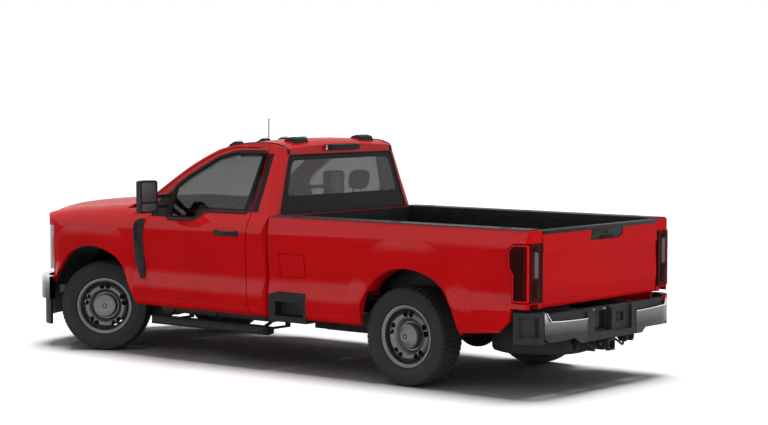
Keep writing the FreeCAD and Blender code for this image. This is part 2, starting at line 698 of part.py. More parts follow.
TAIL_LAMP_LINE = [(-2852.0, 744.0), (-2689.0, 744.0), (-2691.0, 958.0), (-2652.0, 1010.0),
                  (-2651.0, 1157.0),
                  (-2708.0, 1200.0), (-2852.0, 1200.0)]
LAMP_INNER_Y = 822.0
BED_PILLAR = 80.0


def tail_corner(proud):
    """Rounded rear corner of the bed in plan, left side."""
    x = BED_REAR_X - proud
    y = CREASE_Y + 4
    r = 55.0
    d = r * (1 - math.sqrt(0.5))
    points = [V(x, y - r, 0), V(x + d, y - d, 0), V(x + r, y, 0)]
    wire = Part.Wire([arc(*points), line(points[2], V(0, y, 0)), line(V(0, y, 0), V(0, 0, 0)),
                      line(V(0, 0, 0), V(x, 0, 0)), line(V(x, 0, 0), points[0])])
    return Part.Face(wire).extrude(V(0, 0, 2000))


BED_TAIL_LINE = [(-2182.0, 400.0), (-2200.0, 476.0), (-2560.0, 506.0), (-2676.0, 610.0), (-2676.0, 700.0),
                 (-2900.0, 700.0), (-2900.0, 400.0)]
STEP_LINE = [(BED_FRONT_X, 424.0), (BED_FRONT_X, 650.0), (-300.0, 680.0), (-605.0, 677.0), (-610.0, 655.0),
             (-606.0, 424.0)]


def bed_side(left):
    wall = loft([bed_side_wire(BED_FRONT_X), bed_side_wire(BED_REAR_X)], True)
    wall = wall.common(tail_corner(0.0))
    pillar = box(BED_REAR_X, BED_REAR_X + BED_PILLAR, TAILGATE_HALF + SIDE_GAP, BED_INNER_Y + 20, 700.0, RAIL_Z - 2)
    wall = wall.fuse(pillar)
    lamp = prism_y(TAIL_LAMP_LINE, LAMP_INNER_Y - 6, 1100.0).cut(box(-2790, -2600, 0, 930, 600, 1300))
    pin = tailgate_pin(SIDE_GAP + 34, TAILGATE_PIN_RADIUS + HINGE_CLEARANCE)
    wall = wall.cut([lamp, arch(REAR_ARCH, REAR_AXLE_X, 600.0), pin, prism_y(BED_TAIL_LINE, 860.0, 1100.0),
                     prism_y(STEP_LINE, 900.0, 1100.0)])
    if left:
        wall = wall.cut(fuel_pocket()).fuse(fuel_fittings())
    return max(wall.Solids, key=lambda s: s.Volume)


def bed_step():
    """Moulded foot step let into the bed side behind the cab."""
    recess = prism_y([(-262, 474), (-262, 594), (-568, 594), (-568, 474)], 920.0, 1100.0)
    return prism_y(STEP_LINE, 880.0, 1001.0).cut(recess)


def tailgate_pin(length, radius):
    return Part.makeCylinder(radius, length, V(TAILGATE_HINGE_X, TAILGATE_HALF - 10, TAILGATE_HINGE_Z),
                             V(0, 1, 0))


def fuel_pin(radius, over):
    """Cylinder along the hinge line of the fuel door, reaching past both of its ends."""
    low = V(FUEL_X1 + 8, FUEL_PIN_LOW_Y, FUEL_Z0)
    high = V(FUEL_X1 + 8, FUEL_PIN_HIGH_Y, FUEL_Z1)
    step = (high - low).normalize() * over
    return rod(low - step, high + step, radius)


def fuel_pocket():
    pocket = box(FUEL_X0 + 8, FUEL_X1 - 8, 1012 - FUEL_DEPTH, 990.0, FUEL_Z0 + 8, FUEL_Z1 - 8)
    opening = box(FUEL_X0 - FUEL_GAP, FUEL_X1 + 20, 981.0, 1100.0, FUEL_Z0 - FUEL_GAP, FUEL_Z1 + FUEL_GAP)
    return fuse([pocket, opening])


def fuel_fittings():
    """Filler neck with its cap, and the pin that the fuel door turns on."""
    x = (FUEL_X0 + FUEL_X1) / 2
    z = (FUEL_Z0 + FUEL_Z1) / 2
    base = 1012 - FUEL_DEPTH
    neck = Part.makeCylinder(42.0, 24.0, V(x, base - 4, z), V(0, 1, 0))
    grip = box(x - 34, x + 34, base + 16, base + 30, z - 8, z + 8)
    return fuse([neck, grip]), fuel_pin(FUEL_PIN_RADIUS, 14.0)


def fuel_door():
    """Flap flush with the bed side, with the barrel of its hinge along the front edge."""
    skin = loft([bed_side_wire(BED_FRONT_X), bed_side_wire(BED_REAR_X)], True)
    plate = skin.common(box(FUEL_X0, FUEL_X1 + 8, 900.0, 1100.0, FUEL_Z0, FUEL_Z1))
    inner = plate.copy()
    inner.translate(V(0, -FUEL_SKIN, 0))
    plate = plate.cut(inner).common(box(FUEL_X0, FUEL_X1 + 8, 981.0 + SIDE_GAP, 1100.0, FUEL_Z0, FUEL_Z1))
    plate = max(plate.Solids, key=lambda s: s.Volume)
    barrel = fuel_pin(FUEL_PIN_RADIUS + 3, 0.0)
    flap = fuse([plate, barrel]).cut(fuel_pin(FUEL_PIN_RADIUS + HINGE_CLEARANCE, 5.0))
    return [max(flap.Solids, key=lambda s: s.Volume)]


def bed_tub():
    floor_rear = TAILGATE_HINGE_X + 48
    floor = box(floor_rear, HEADBOARD_X, 0, BED_INNER_Y, BED_FLOOR_Z - BED_FLOOR_THICK, BED_FLOOR_Z)
    head = box(HEADBOARD_X - HEADBOARD_THICK, HEADBOARD_X, 0, RAIL_INNER_Y, BED_FLOOR_Z - BED_FLOOR_THICK,
               RAIL_Z - 4)
    rib_pitch = 118.0
    ribs = [box(floor_rear + 20, HEADBOARD_X - HEADBOARD_THICK, i * rib_pitch, i * rib_pitch + 58,
                BED_FLOOR_Z - 1,
                BED_FLOOR_Z + 9) for i in range(5)]
    dome = [(460.0, 365.0), (455.0, 480.0), (400.0, 572.0), (330.0, 595.0), (-330.0, 595.0),
            (-400.0, 572.0),
            (-455.0, 480.0), (-460.0, 365.0)]
    t = 14.0
    outer = prism_y([(REAR_AXLE_X + x, TYRE_RADIUS + z) for x, z in dome], WHEELHOUSE_Y, BED_INNER_Y)
    inner = prism_y([(REAR_AXLE_X + x * (1 - t / 455), TYRE_RADIUS + (z - t if z > 400 else z - 100)) for x,
                     z in dome],
                    WHEELHOUSE_Y + t, BED_INNER_Y + 50)
    under = BED_FLOOR_Z - BED_FLOOR_THICK
    cross = [box(x - 40, x + 40, 0, 800.0, under - BED_CROSS_DEPTH, under)
             for x in (-320.0, -700.0, -1080.0, -2250.0, -2600.0)]
    wall = box(floor_rear, HEADBOARD_X, BED_INNER_Y - TUB_WALL, BED_INNER_Y, BED_FLOOR_Z, RAIL_Z - 42)
    stamped = [box(x0, x1, BED_INNER_Y - TUB_WALL - 1, BED_INNER_Y - TUB_WALL + STAMPING, z0, RAIL_Z - 72)
               for x0, x1, z0 in ((-2690, -2150, 830), (-2090, -1640, 1030), (-1580, -1130, 1030),
                                  (-1070, -670, 830),
                                  (-610, -260, 830))]
    half = fuse([floor, head] + ribs + cross + [outer, wall.cut(stamped)]).cut(inner)
    return [fuse([half, mirrored(half)])]


def tailgate():
    outer_x = BED_REAR_X
    inner_x = BED_REAR_X + TAILGATE_THICK
    outline = [(inner_x, TAILGATE_BOTTOM_Z), (outer_x + 14, TAILGATE_BOTTOM_Z),
               (outer_x + 6, TAILGATE_BOTTOM_Z + 20),
               (outer_x + 2, 806.0), (outer_x - 4, 832.0), (outer_x + 4, 1100.0), (outer_x - 8, 1128.0),
               (outer_x - 2, 1268.0), (outer_x + 10, TAILGATE_TOP_Z), (inner_x, TAILGATE_TOP_Z)]
    panel = prism_y(outline, -TAILGATE_HALF, TAILGATE_HALF)
    handle = prism_x([(-314, TAILGATE_TOP_Z), (136, TAILGATE_TOP_Z), (168, 1180), (-236, 1178),
                      (-300, 1206)],
                     outer_x - 30, outer_x + HANDLE_DEPTH)
    panel = panel.cut(handle)
    pins = [tailgate_pin(10 + SIDE_GAP + 18, TAILGATE_PIN_RADIUS)]
    return [fuse([panel] + both_sides(pins))]


def tail_lamp():
    body = prism_y(TAIL_LAMP_LINE, LAMP_INNER_Y, 1100.0).cut(box(-2790, -2600, 0, 930, 600, 1300))
    return body.common(tail_corner(8.0))


def bed_rail_caps():
    """Plastic caps on the bed rails, each with a skirt down the inner face of its rail."""
    x0 = BED_REAR_X + 20
    cap = prism_x([(RAIL_INNER_Y - CAP_SKIRT, RAIL_Z), (RAIL_Y + 2, RAIL_Z),
                   (RAIL_Y - 8, RAIL_Z + CAP_THICK),
                   (RAIL_INNER_Y, RAIL_Z + CAP_THICK)], x0, BED_FRONT_X - 4)
    skirt = box(BED_REAR_X + BED_PILLAR + 2, HEADBOARD_X - HEADBOARD_THICK - 3,
                RAIL_INNER_Y - CAP_SKIRT,
                RAIL_INNER_Y, RAIL_Z - 38, RAIL_Z + 1)
    return both_sides([fuse([cap, skirt])])


# Rear bumper: two bright panels and a dark step with the plate recess between them
CHROME_END_Y = 872.0
STEP_TOP_Z = 655.0
PLATE_RECESS_Y = 245.0
BUMPER_PLAN = [(-2944.0, 0.0), (-2943.0, 360.0), (-2926.0, 700.0), (-2898.0, 880.0), (-2840.0, 978.0),
               (-2700.0, 1008.0)]


def bumper_plan(inset, z0, z1):
    points = [(x + inset, y - inset * i / 5) for i, (x, y) in enumerate(BUMPER_PLAN)]
    curve = spline([V(x, y, z0) for x, y in points])
    ends = [V(points[-1][0], points[-1][1], z0), V(-2690 + inset, points[-1][1], z0),
            V(-2690 + inset, 0, z0), V(points[0][0], 0, z0)]
    wire = Part.Wire([curve] + [line(a, b) for a, b in zip(ends, ends[1:])])
    return Part.Face(wire).extrude(V(0, 0, z1 - z0))


def rear_bumper():
    band = bumper_plan(0.0, 404.0, 690.0).cut(bumper_plan(26.0, 300.0, 800.0))
    zone = prism_x([(352, 404), (440, 404), (512, 450), (820, 438), (CHROME_END_Y, 470),
                    (CHROME_END_Y, 676),
                    (820, 600), (352, 590)], -3000, -2600)
    return both_sides([max(band.common(zone).Solids, key=lambda s: s.Volume)])


def bumper_corner():
    """Black end of the rear bumper with its foot pocket, left side."""
    shell = bumper_plan(3.0, 434.0, 672.0).cut(bumper_plan(45.0, 400.0, 700.0))
    shell = shell.common(box(-3000, -2700, CHROME_END_Y + 3, 1100, 400, 700))
    pocket = box(-2880, -2752, 900, 1100, 486, 636).cut(bumper_plan(33.0, 400.0, 700.0))
    step = box(-2880, -2752, 925, 1000, 468, 486).common(bumper_plan(3.0, 400.0, 700.0))
    return shell.cut(pocket).fuse(step)


def bumper_step():
    """Dark middle of the rear bumper: step pads, plate recess on the left and socket panel on the right."""
    deck = bumper_plan(27.0, 560.0, STEP_TOP_Z).cut(box(-2856, -2600, -1, 1100, 500, 700))
    shelf = bumper_plan(26.0, 560.0, 590.0).cut(box(-2856, -2600, -1, 1100, 500, 700))
    beam = box(-2880, -2850, 0, 940, 430, 598).common(bumper_plan(26.0, 400.0, 600.0))
    side = bumper_plan(3.0, 404.0, 640.0).common(box(-3000, -2862, -1, 349, 300, 800))
    half = fuse([deck, shelf, beam, side, bumper_corner()])
    body = fuse([half, mirrored(half)])
    plate_recess = box(-3000, -2882, 4, PLATE_RECESS_Y, 466, 700)
    socket_recess = box(-3000, -2912, -286, -10, 456, 700)
    socket = box(-3000, -2896, -204, -104, 522, 604)
    return [body.cut([plate_recess, socket_recess, socket])]


def hitch_receiver():
    z = 350.0
    tube = box(-2932, -2690, -38, 38, z - 38, z + 38)
    collar = box(-2940, -2905, -46, 46, z - 46, z + 46)
    bore = box(-2990, -2700, -32, 32, z - 32, z + 32)
    cross = box(-2800, -2720, -RAIL_OUT, RAIL_OUT, z + 38, z + 104)
    plates = [box(-2830, -2700, RAIL_OUT, RAIL_OUT + 10, z + 38, 600),
              box(-2820, -2700, 60, 70, z - 60, z + 60)]
    return [fuse([tube, collar, cross] + both_sides(plates)).cut(bore)]


# Chassis
def frame():
    inside = RAIL_OUT - RAIL_WIDTH
    top = [(2700, 600), (2480, 600), (2250, 690), (1700, 690), (1505, 505), (1300, 490), (-900, 490),
           (-1150, 640),
           (-1350, 690), (-2100, 690), (-2250, 660), (-2850, 660)]
    bottom = [(-2850, 520), (-2200, 520), (-2000, 560), (-1300, 560), (-1050, 470), (-850, 360),
              (1250, 360),
              (1400, 375), (1640, 560), (2280, 560), (2480, 480), (2700, 480)]
    rail = prism_y(top + bottom, inside, RAIL_OUT)
    cross = [box(x - CROSS_HALF, x + CROSS_HALF, -inside - 2, inside + 2, z, z + CROSS_DEPTH)
             for x, z in CROSS_MEMBERS]
    post_top = BED_FLOOR_Z - BED_FLOOR_THICK - BED_CROSS_DEPTH
    posts = [box(x - 40, x + 40, RAIL_OUT - 70, RAIL_OUT - 10, z, post_top)
             for x, z in ((-320.0, 480.0), (-700.0, 480.0), (-2250.0, 650.0), (-2600.0, 650.0))]
    outriggers = [box(x - 40, x + 40, RAIL_OUT - 2, 840.0, 400.0, 440.0) for x in BOARD_LEG_XS]
    engine_mounts = [box(1850, 1950, ENGINE_HALF, inside + 2, 640.0, 684.0)]
    return [fuse([rail, mirrored(rail)] + cross + both_sides(posts + outriggers + engine_mounts))]


def driveline():
    engine = box(1560, 2300, -ENGINE_HALF, ENGINE_HALF, 600, 1130)
    sump = box(1580, 1800, -190, 190, 540, 600)
    gearbox = prism_y([(1560, 560), (1560, 800), (1506, 760), (1506, 640), (700, 600), (700, 440),
                       (1506, 440)],
                      -GEARBOX_HALF, GEARBOX_HALF)
    transfer = box(480, 700, -140, 140, 445, 600).fuse(box(560, 700, 100, 232, 445, 514))
    shaft = rod(V(480, -20, 508), V(REAR_AXLE_X + 218, 0, 412), SHAFT_RADIUS)
    front_shaft = rod(V(700, 190, 478), V(FRONT_AXLE_X - 113, 250, 410), FRONT_SHAFT_RADIUS)
    return [fuse([engine, sump, gearbox, transfer, shaft, front_shaft])]


def front_axle():
    x, z = FRONT_AXLE_X, TYRE_RADIUS
    tube = rod(V(x, -KINGPIN_Y + 60, z), V(x, KINGPIN_Y - 60, z), FRONT_TUBE_RADIUS)
    diff = Part.makeSphere(140.0, V(x, 250.0, z + 10)).common(box(x - 110, x + 140, 100, 400, z - 140,
                                                                  z + 150))
    yokes = []
    for side in (1, -1):
        back = box(x - 40, x + 40, side * (KINGPIN_Y - 90), side * (KINGPIN_Y - 52), z - 112, z + 112)
        arms = [box(x - 34, x + 34, side * (KINGPIN_Y - 60), side * (KINGPIN_Y + 26), z + a, z + a + 26)
                for a in (-112.0, 86.0)]
        pin = rod(V(x, side * KINGPIN_Y, z - 100), V(x, side * KINGPIN_Y, z + 100), KINGPIN_RADIUS)
        yokes += [back, pin] + arms
    beam = fuse([tube, diff] + yokes)
    springs = []
    towers = []
    foot = z + 52
    head = foot + COIL_HEIGHT
    for side in (1, -1):
        y = side * SPRING_Y
        seat = box(x - 65, x + 65, y - 55, y + 55, z + 38, foot)
        link = box(1180, x, side * 440.0, side * 500.0, z - 60, z - 10)
        springs += [seat, link]
        coil = Part.makeCylinder(COIL_RADIUS, COIL_HEIGHT, V(x, y, foot))
        core = Part.makeCylinder(COIL_RADIUS - COIL_WIRE, COIL_HEIGHT, V(x, y, foot))
        towers.append(coil.cut(core))
        cup = Part.makeCylinder(COIL_RADIUS + 8, 12.0, V(x, y, head))
        towers.append(fuse([cup, box(x - 50, x + 50, side * RAIL_OUT, y, head, head + 12)]))
    return [fuse([beam] + springs)] + towers


def rear_axle():
    x, z = REAR_AXLE_X, TYRE_RADIUS
    tube = rod(V(x, -REAR_WHEEL_Y + 30, z), V(x, REAR_WHEEL_Y - 30, z), AXLE_TUBE_RADIUS)
    diff = Part.makeSphere(175.0, V(x, 0, z)).common(box(x - 165, x + 165, -150, 150, z - 170, z + 160))
    nose = rod(V(x + 120, 0, z + 5), V(x + 215, 0, z + 12), 60.0)
    hub = HUB_BORE_RADIUS - HUB_CLEARANCE
    spindles = [rod(V(x, s * (REAR_WHEEL_Y - 60), z), V(x, s * (REAR_WHEEL_Y + REAR_HUB_REACH), z), hub)
                for s in (1, -1)]
    leaves = []
    for s in (1, -1):
        y = s * SPRING_Y
        pack = [(x + 700, z + 110), (x + 350, z + 70), (x, z + 52), (x - 350, z + 72), (x - 740, z + 120)]
        under = [(x - 740, z + 104), (x - 350, z + 52), (x, z + 10), (x + 350, z + 50), (x + 700, z + 94)]
        leaf = prism_y(pack + under, y - LEAF_HALF, y + LEAF_HALF)
        hangers = [box(x + a - 20, x + a + 20, s * RAIL_OUT, y, z + b, z + c)
                   for a, b, c in ((700, 40, 130), (-740, 106, 166))]
        leaves += [leaf] + hangers
    return [fuse([tube, diff, nose] + spindles + leaves)]


def knuckle():
    """Left knuckle, wheels straight ahead: barrel round the kingpin, arm and spindle."""
    x, z = FRONT_AXLE_X, TYRE_RADIUS
    barrel = rod(V(x, KINGPIN_Y, z - 80), V(x, KINGPIN_Y, z + 80), 40.0)
    plate = box(x - 60, x + 60, KINGPIN_Y + 10, KINGPIN_Y + 60, z - 75, z + 75)
    spindle = rod(V(x, KINGPIN_Y + 20, z), V(x, FRONT_WHEEL_Y + FRONT_HUB_REACH, z),
                  HUB_BORE_RADIUS - HUB_CLEARANCE)
    arm = box(x - 190, x - 40, KINGPIN_Y - 10, KINGPIN_Y + 30, z - 60, z - 36)
    body = fuse([barrel, plate, spindle, arm])
    hole = rod(V(x, KINGPIN_Y, z - 120), V(x, KINGPIN_Y, z + 120),
               KINGPIN_RADIUS + HINGE_CLEARANCE)
    back = box(x - 45, x + 45, 0, KINGPIN_Y - 46, z - 200, z + 200)
    return body.cut([hole, back])


def steered(shape, side):
    """Turn a piece of the front wheel on the given side by the angle at rest, about its kingpin."""
    turned = shape.copy()
    turned.rotate(V(FRONT_AXLE_X, side * KINGPIN_Y, 0), V(0, 0, 1), STEER_REST_DEG)
    return turned


def revolved(profile, y, side, x):
    """Ring round a wheel's axis: profile is (outward offset from the wheel's middle plane, radius)."""
    points = [V(x, y + side * s, TYRE_RADIUS + r) for s, r in profile]
    face = Part.Face(closed(points))
    return face.revolve(V(x, y, TYRE_RADIUS), V(0, 1, 0), 360)


def rim(side, x, y):
    w = RIM_HALF_WIDTH
    r = RIM_RADIUS
    t = RIM_WALL
    wall = r - 44
    barrel = revolved([(-w, r), (-w + t, r), (-w + t + 4, r - 16), (-40, r - 20), (-30, r - 38),
                       (20, r - 38), (32, r - 20),
                       (w - t - 4, r - 16), (w - t, r), (w, r), (w, r - 14), (w - 10, r - 27), (40, r - 31),
                       (24, r - 49),
                       (-34, r - 49), (-46, r - 31), (-w + 10, r - 27), (-w, r - 14)], y, side, x)
    disc = revolved([(DISC_FACE, HUB_BORE_RADIUS), (DISC_FACE, 118), (DISC_FACE + 30, 150),
                     (DISC_FACE + 42, 178),
                     (DISC_FACE + 24, r - 53), (DISC_FACE - 28, wall), (DISC_FACE - 40, wall),
                     (DISC_FACE + 12, r - 61),
                     (DISC_FACE + 30, 174), (DISC_FACE + 20, 154), (DISC_FACE - 12, 120),
                     (DISC_FACE - 12, HUB_BORE_RADIUS)],
                    y, side, x)
    holes = []
    for i in range(WINDOW_COUNT):
        slot = Part.makeCylinder(WINDOW_RADIUS, 200.0, V(x, y - 100, TYRE_RADIUS + WINDOW_CIRCLE),
                                 V(0, 1, 0))
        wide = slot.copy()
        wide.rotate(V(x, y, TYRE_RADIUS), V(0, 1, 0), WINDOW_SPREAD_DEG)
        slot.rotate(V(x, y, TYRE_RADIUS), V(0, 1, 0), -WINDOW_SPREAD_DEG)
        window = slot.fuse(wide)
        window.rotate(V(x, y, TYRE_RADIUS), V(0, 1, 0), 360.0 / WINDOW_COUNT * i)
        holes.append(window)
    disc = disc.cut(holes)
    return barrel, disc


def wheel(side, x, y, rear):
    barrel, disc = rim(side, x, y)
    reach = REAR_HUB_REACH if rear else FRONT_HUB_REACH
    cap = revolved([(DISC_FACE - 4, HUB_BORE_RADIUS), (DISC_FACE - 4, HUB_BORE_RADIUS + 34),
                    (DISC_FACE + 26, 84),
                    (reach + 12, 66), (reach + 18, 54), (reach + 20, 0), (reach + 2, 0),
                    (reach + 2, HUB_BORE_RADIUS)],
                   y, side, x)
    brake = revolved([(-34, HUB_BORE_RADIUS), (-34, 172), (-2, 172), (-2, 102), (DISC_FACE - 8, 96),
                      (DISC_FACE - 8, HUB_BORE_RADIUS)], y, side, x)
    return [barrel.fuse([disc, cap, brake])]


def tyre(side, x, y):
    w = TYRE_HALF_WIDTH
    r = TYRE_RADIUS
    bead = RIM_RADIUS
    profile = [(-RIM_HALF_WIDTH + RIM_WALL + 4, bead - 16), (-RIM_HALF_WIDTH + RIM_WALL, bead + 0.5),
               (-w * 0.9, bead + 14),
               (-w, bead + 70), (-w * 0.96, r - 40), (-w * 0.9, r - 14), (-w * 0.74, r - 3), (0, r),
               (w * 0.74, r - 3),
               (w * 0.9, r - 14), (w * 0.96, r - 40), (w, bead + 70), (w * 0.9, bead + 14),
               (RIM_HALF_WIDTH - RIM_WALL, bead + 0.5), (RIM_HALF_WIDTH - RIM_WALL - 4, bead - 16)]
    return [revolved(profile, y, side, x)]


def spare_wheel():
    """Spare wheel lying under the bed, held up on a plate and rod from the frame."""
    barrel, disc = rim(1, 0.0, 0.0)
    solids = tyre(1, 0.0, 0.0) + [fuse([barrel, disc])]
    for solid in solids:
        solid.rotate(V(0, 0, TYRE_RADIUS), V(1, 0, 0), 90.0)
        solid.translate(V(SPARE_X, 0, SPARE_Z - TYRE_RADIUS))
    seat = SPARE_Z + DISC_FACE - 12
    plate = Part.makeCylinder(110.0, 8.0, V(SPARE_X, 0, seat - 8))
    hanger = Part.makeCylinder(14.0, 560.0 - seat, V(SPARE_X, 0, seat))
    return solids + [fuse([plate, hanger])]


TAIL_PIPE = [(-440.0, EXHAUST_Y, 300.0), (-900.0, -238.0, 330.0), (-1240.0, -250.0, 520.0),
             (-1560.0, -270.0, 530.0),
             (-1760.0, -330.0, 522.0), (-1990.0, -610.0, 515.0), (-2180.0, -680.0, 470.0),
             (-2420.0, -770.0, 400.0)]


def exhaust():
    y = EXHAUST_Y
    bend = V(1620, y, EXHAUST_Z + 18)
    inlet = V(200, y, EXHAUST_Z)
    front = rod(V(1620, y, 600), bend, EXHAUST_RADIUS)
    elbow = Part.makeSphere(EXHAUST_RADIUS, bend)
    pipe = rod(bend, inlet, EXHAUST_RADIUS)
    muffler = rod(inlet, V(-500, y, EXHAUST_Z), MUFFLER_RADIUS)
    route = [V(*p) for p in TAIL_PIPE]
    mouth = Part.makeCircle(TAIL_PIPE_RADIUS, route[0], route[1] - route[0])
    tail = Part.Wire([spline(route)]).makePipeShell([Part.Wire([mouth])], True, True)
    hangers = [box(x - 6, x + 6, y - 6, y + 6, 300, top) for x, top in ((900.0, 355.0), (-100.0, 375.0))]
    return [fuse([front, elbow, pipe, muffler, tail] + hangers)]


def fuel_tank():
    return [box(TANK_X0, TANK_X1, TANK_INNER_Y, RAIL_OUT - RAIL_WIDTH, 300, 500)]


def running_board():
    section = prism_x([(868, 300), (868, 346), (890, 360), (985, 366), (1004, 352), (1006, 322), (984, 296),
                       (930, 290)],
                      BOARD_REAR_X, BOARD_FRONT_X)
    plan = prism_z([(BOARD_REAR_X, 860), (BOARD_FRONT_X - 40, 860), (BOARD_FRONT_X, 900),
                    (BOARD_FRONT_X, 950),
                    (BOARD_FRONT_X - 14, 985), (BOARD_FRONT_X - 50, 1010), (BOARD_REAR_X + 50, 1010),
                    (BOARD_REAR_X + 14, 990), (BOARD_REAR_X, 960)], 280.0, 380.0)
    board = section.common(plan)
    legs = [box(x - 25, x + 25, 540.0, 900.0, 316.0, 330.0) for x in BOARD_LEG_XS]
    risers = [box(x - 25, x + 25, 540.0, 554.0, 320.0, 400.0) for x in BOARD_LEG_XS]
    return fuse([board] + legs + risers)


# Cabin
def dashboard():
    top = COWL_Z - 27
    body = prism_y([(FIREWALL_X, 960), (1060, 960), (1000, 1060), (1010, 1150), (1080, top - 6),
                    (1300, top),
                    (FIREWALL_X, top)], -780.0, 780.0)
    return [body]


def steering_wheel():
    centre = V(860.0, 400.0, 1130.0)
    ring = Part.makeTorus(184.0, 15.0, centre, V(-1, 0, 0.42))
    hub = rod(centre, centre + V(70, 0, -29), 52.0)
    bar = box(centre.x - 8, centre.x + 8, centre.y - 178, centre.y + 178, centre.z - 14, centre.z + 14)
    column = rod(centre + V(40, 0, -17), V(1075, 400, 1040), 30.0)
    bar.rotate(centre, V(0, 1, 0), -22.8)
    return [fuse([ring, hub, column, bar]).cut(dashboard())]


def seat(y0, y1, base_front, base_rear):
    """Cushion and back of one seat."""
    cushion = prism_y([(90, base_rear), (640, base_front), (660, 830), (620, 868), (220, 840), (90, 830)],
                      y0, y1)
    back = prism_y([(100, 780), (225, 800), (120, 1400), (85, 1440), (20, 1430), (0, 1380)], y0, y1)
    return fuse([cushion, back])


def seats():
    floor = FLOOR_Z + FLOOR_THICK
    tunnel = FLOOR_Z + TUNNEL_RISE + FLOOR_THICK
    middle = seat(-185.0, 185.0, tunnel, tunnel)
    outer = seat(190.0, 690.0, floor + 140.0, floor + 110.0)
    head = prism_y([(30, 1470), (110, 1480), (90, 1640), (50, 1656), (10, 1640)], 300.0, 560.0)
    stalks = [rod(V(60, y, 1420), V(58, y, 1490), 6.0) for y in (370.0, 490.0)]
    outer = fuse([outer, head] + stalks)
    plinth = prism_y([(160, floor), (600, floor), (600, floor + 137.8), (160, floor + 113.8)], 240.0, 640.0)
    return [middle] + both_sides([outer, plinth])


def roof_lamps():
    """Marker lamps at the front of the roof, low pods at its back and the high brake lamp."""
    cap = upper_cab(0.0)
    lamps = []
    for y, drop in ((0.0, 0.0), (250.0, 4.0), (600.0, 22.0)):
        wedge = prism_y([(496, 1840), (500, 1917 - drop), (524, 1920 - drop), (592, 1894 - drop),
                         (596, 1840)],
                        y - 40, y + 40)
        lamps += [wedge] if y == 0 else both_sides([wedge])
    pod = prism_y([(-74, 1860), (-62, 1930), (-30, 1946), (20, 1944), (58, 1926), (70, 1860)], 348.0, 526.0)
    taper = prism_x([(340, 1860), (364, 1934), (400, 1950), (480, 1950), (512, 1932), (534, 1860)], -90.0,
                    90.0)
    lamps += both_sides([pod.common(taper)])
    lamps.append(box(-190, -130, -190, 190, 1830, 1872))
    return [max(lamp.cut(cap).Solids, key=lambda s: s.Volume) for lamp in lamps]


def antenna():
    x, y = 1548.0, -915.0
    mast = rod(V(x, y, 1260), V(x - 8, y, 2062), 3.0)
    foot = Part.makeCone(18.0, 8.0, 70.0, V(x, y, 1250))
    return [fuse([mast, foot]).cut(mirrored(front_body(0.0)))]


def main():
    os.makedirs("parts", exist_ok=True)
    save("frame", frame())
    save("driveline", driveline())
    save("exhaust", exhaust())
    save("fuel_tank", fuel_tank())
    save("front_axle", front_axle())
    save("rear_axle", rear_axle())
    left_knuckle = knuckle()
    save("knuckle_left", [steered(left_knuckle, 1)])
    save("knuckle_right", [steered(mirrored(left_knuckle), -1)])
    for name, side in (("left", 1), ("right", -1)):
        place = (side, FRONT_AXLE_X, side * FRONT_WHEEL_Y)
        save("rim_front_%s" % name, [steered(s, side) for s in wheel(*place, rear=False)])
        save("tyre_front_%s" % name, [steered(s, side) for s in tyre(*place)])
        place = (side, REAR_AXLE_X, side * REAR_WHEEL_Y)
        save("rim_rear_%s" % name, wheel(*place, rear=True))
        save("tyre_rear_%s" % name, tyre(*place))
    save("spare_wheel", spare_wheel())
    save("cab_shell", cab_shell())
    save("roof_panel", roof_panel())
    save("windscreen", windscreen())
    save("rear_window", rear_window())
    left_door, left_glass, left_mirror = door(), door_glass(), mirror()
    for name, shape in (("door", [left_door]), ("door_glass", [left_glass]), ("mirror", left_mirror)):
        save(name + "_left", shape)
        save(name + "_right", [mirrored(s) for s in shape])
    save("bonnet", bonnet())
    save("front_wings", both_sides([front_fender()]))
    save("arch_liners", both_sides([arch_liner()]))
    save("nose_support", nose_support())
    save("headlamps", both_sides([headlamp()]))
    save("grille", grille())
    save("front_bumper", front_bumper())
    save("air_dam", air_dam())
    save("bed_tub", bed_tub())
    save("bed_sides", [bed_side(True), mirrored(bed_side(False))])
    save("bed_steps", both_sides([bed_step()]))
    save("bed_rail_caps", bed_rail_caps())
    save("fuel_door", fuel_door())
    save("tailgate", tailgate())
    save("tail_lamps", both_sides([tail_lamp()]))
    save("rear_bumper", rear_bumper())
    save("bumper_step", bumper_step())
    save("hitch_receiver", hitch_receiver())
    save("running_boards", both_sides([running_board()]))
    save("dashboard", dashboard())
    save("steering_wheel", steering_wheel())
    save("seats", seats())
    save("roof_lamps", roof_lamps())
    save("antenna", antenna())


main()
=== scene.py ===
# Looks of the pickup truck: camera, light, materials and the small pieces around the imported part.
import json
import math

import bmesh
import bpy
import numpy as np
from mathutils import Matrix, Vector
from mathutils.bvhtree import BVHTree


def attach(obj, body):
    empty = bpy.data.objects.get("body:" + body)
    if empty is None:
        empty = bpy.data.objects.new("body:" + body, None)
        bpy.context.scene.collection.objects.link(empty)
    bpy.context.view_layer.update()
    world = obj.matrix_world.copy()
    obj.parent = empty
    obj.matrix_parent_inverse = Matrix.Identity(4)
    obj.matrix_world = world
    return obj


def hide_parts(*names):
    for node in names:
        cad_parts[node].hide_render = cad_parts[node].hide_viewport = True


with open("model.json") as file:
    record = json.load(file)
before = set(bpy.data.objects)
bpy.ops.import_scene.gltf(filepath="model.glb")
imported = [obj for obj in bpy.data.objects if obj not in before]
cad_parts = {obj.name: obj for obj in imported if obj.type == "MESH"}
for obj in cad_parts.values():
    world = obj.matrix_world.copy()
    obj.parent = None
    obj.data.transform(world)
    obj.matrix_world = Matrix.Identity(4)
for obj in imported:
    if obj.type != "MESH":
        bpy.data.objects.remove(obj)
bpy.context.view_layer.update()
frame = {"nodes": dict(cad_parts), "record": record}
nodes = frame["nodes"]
SIDES = (("left", 1), ("right", -1))

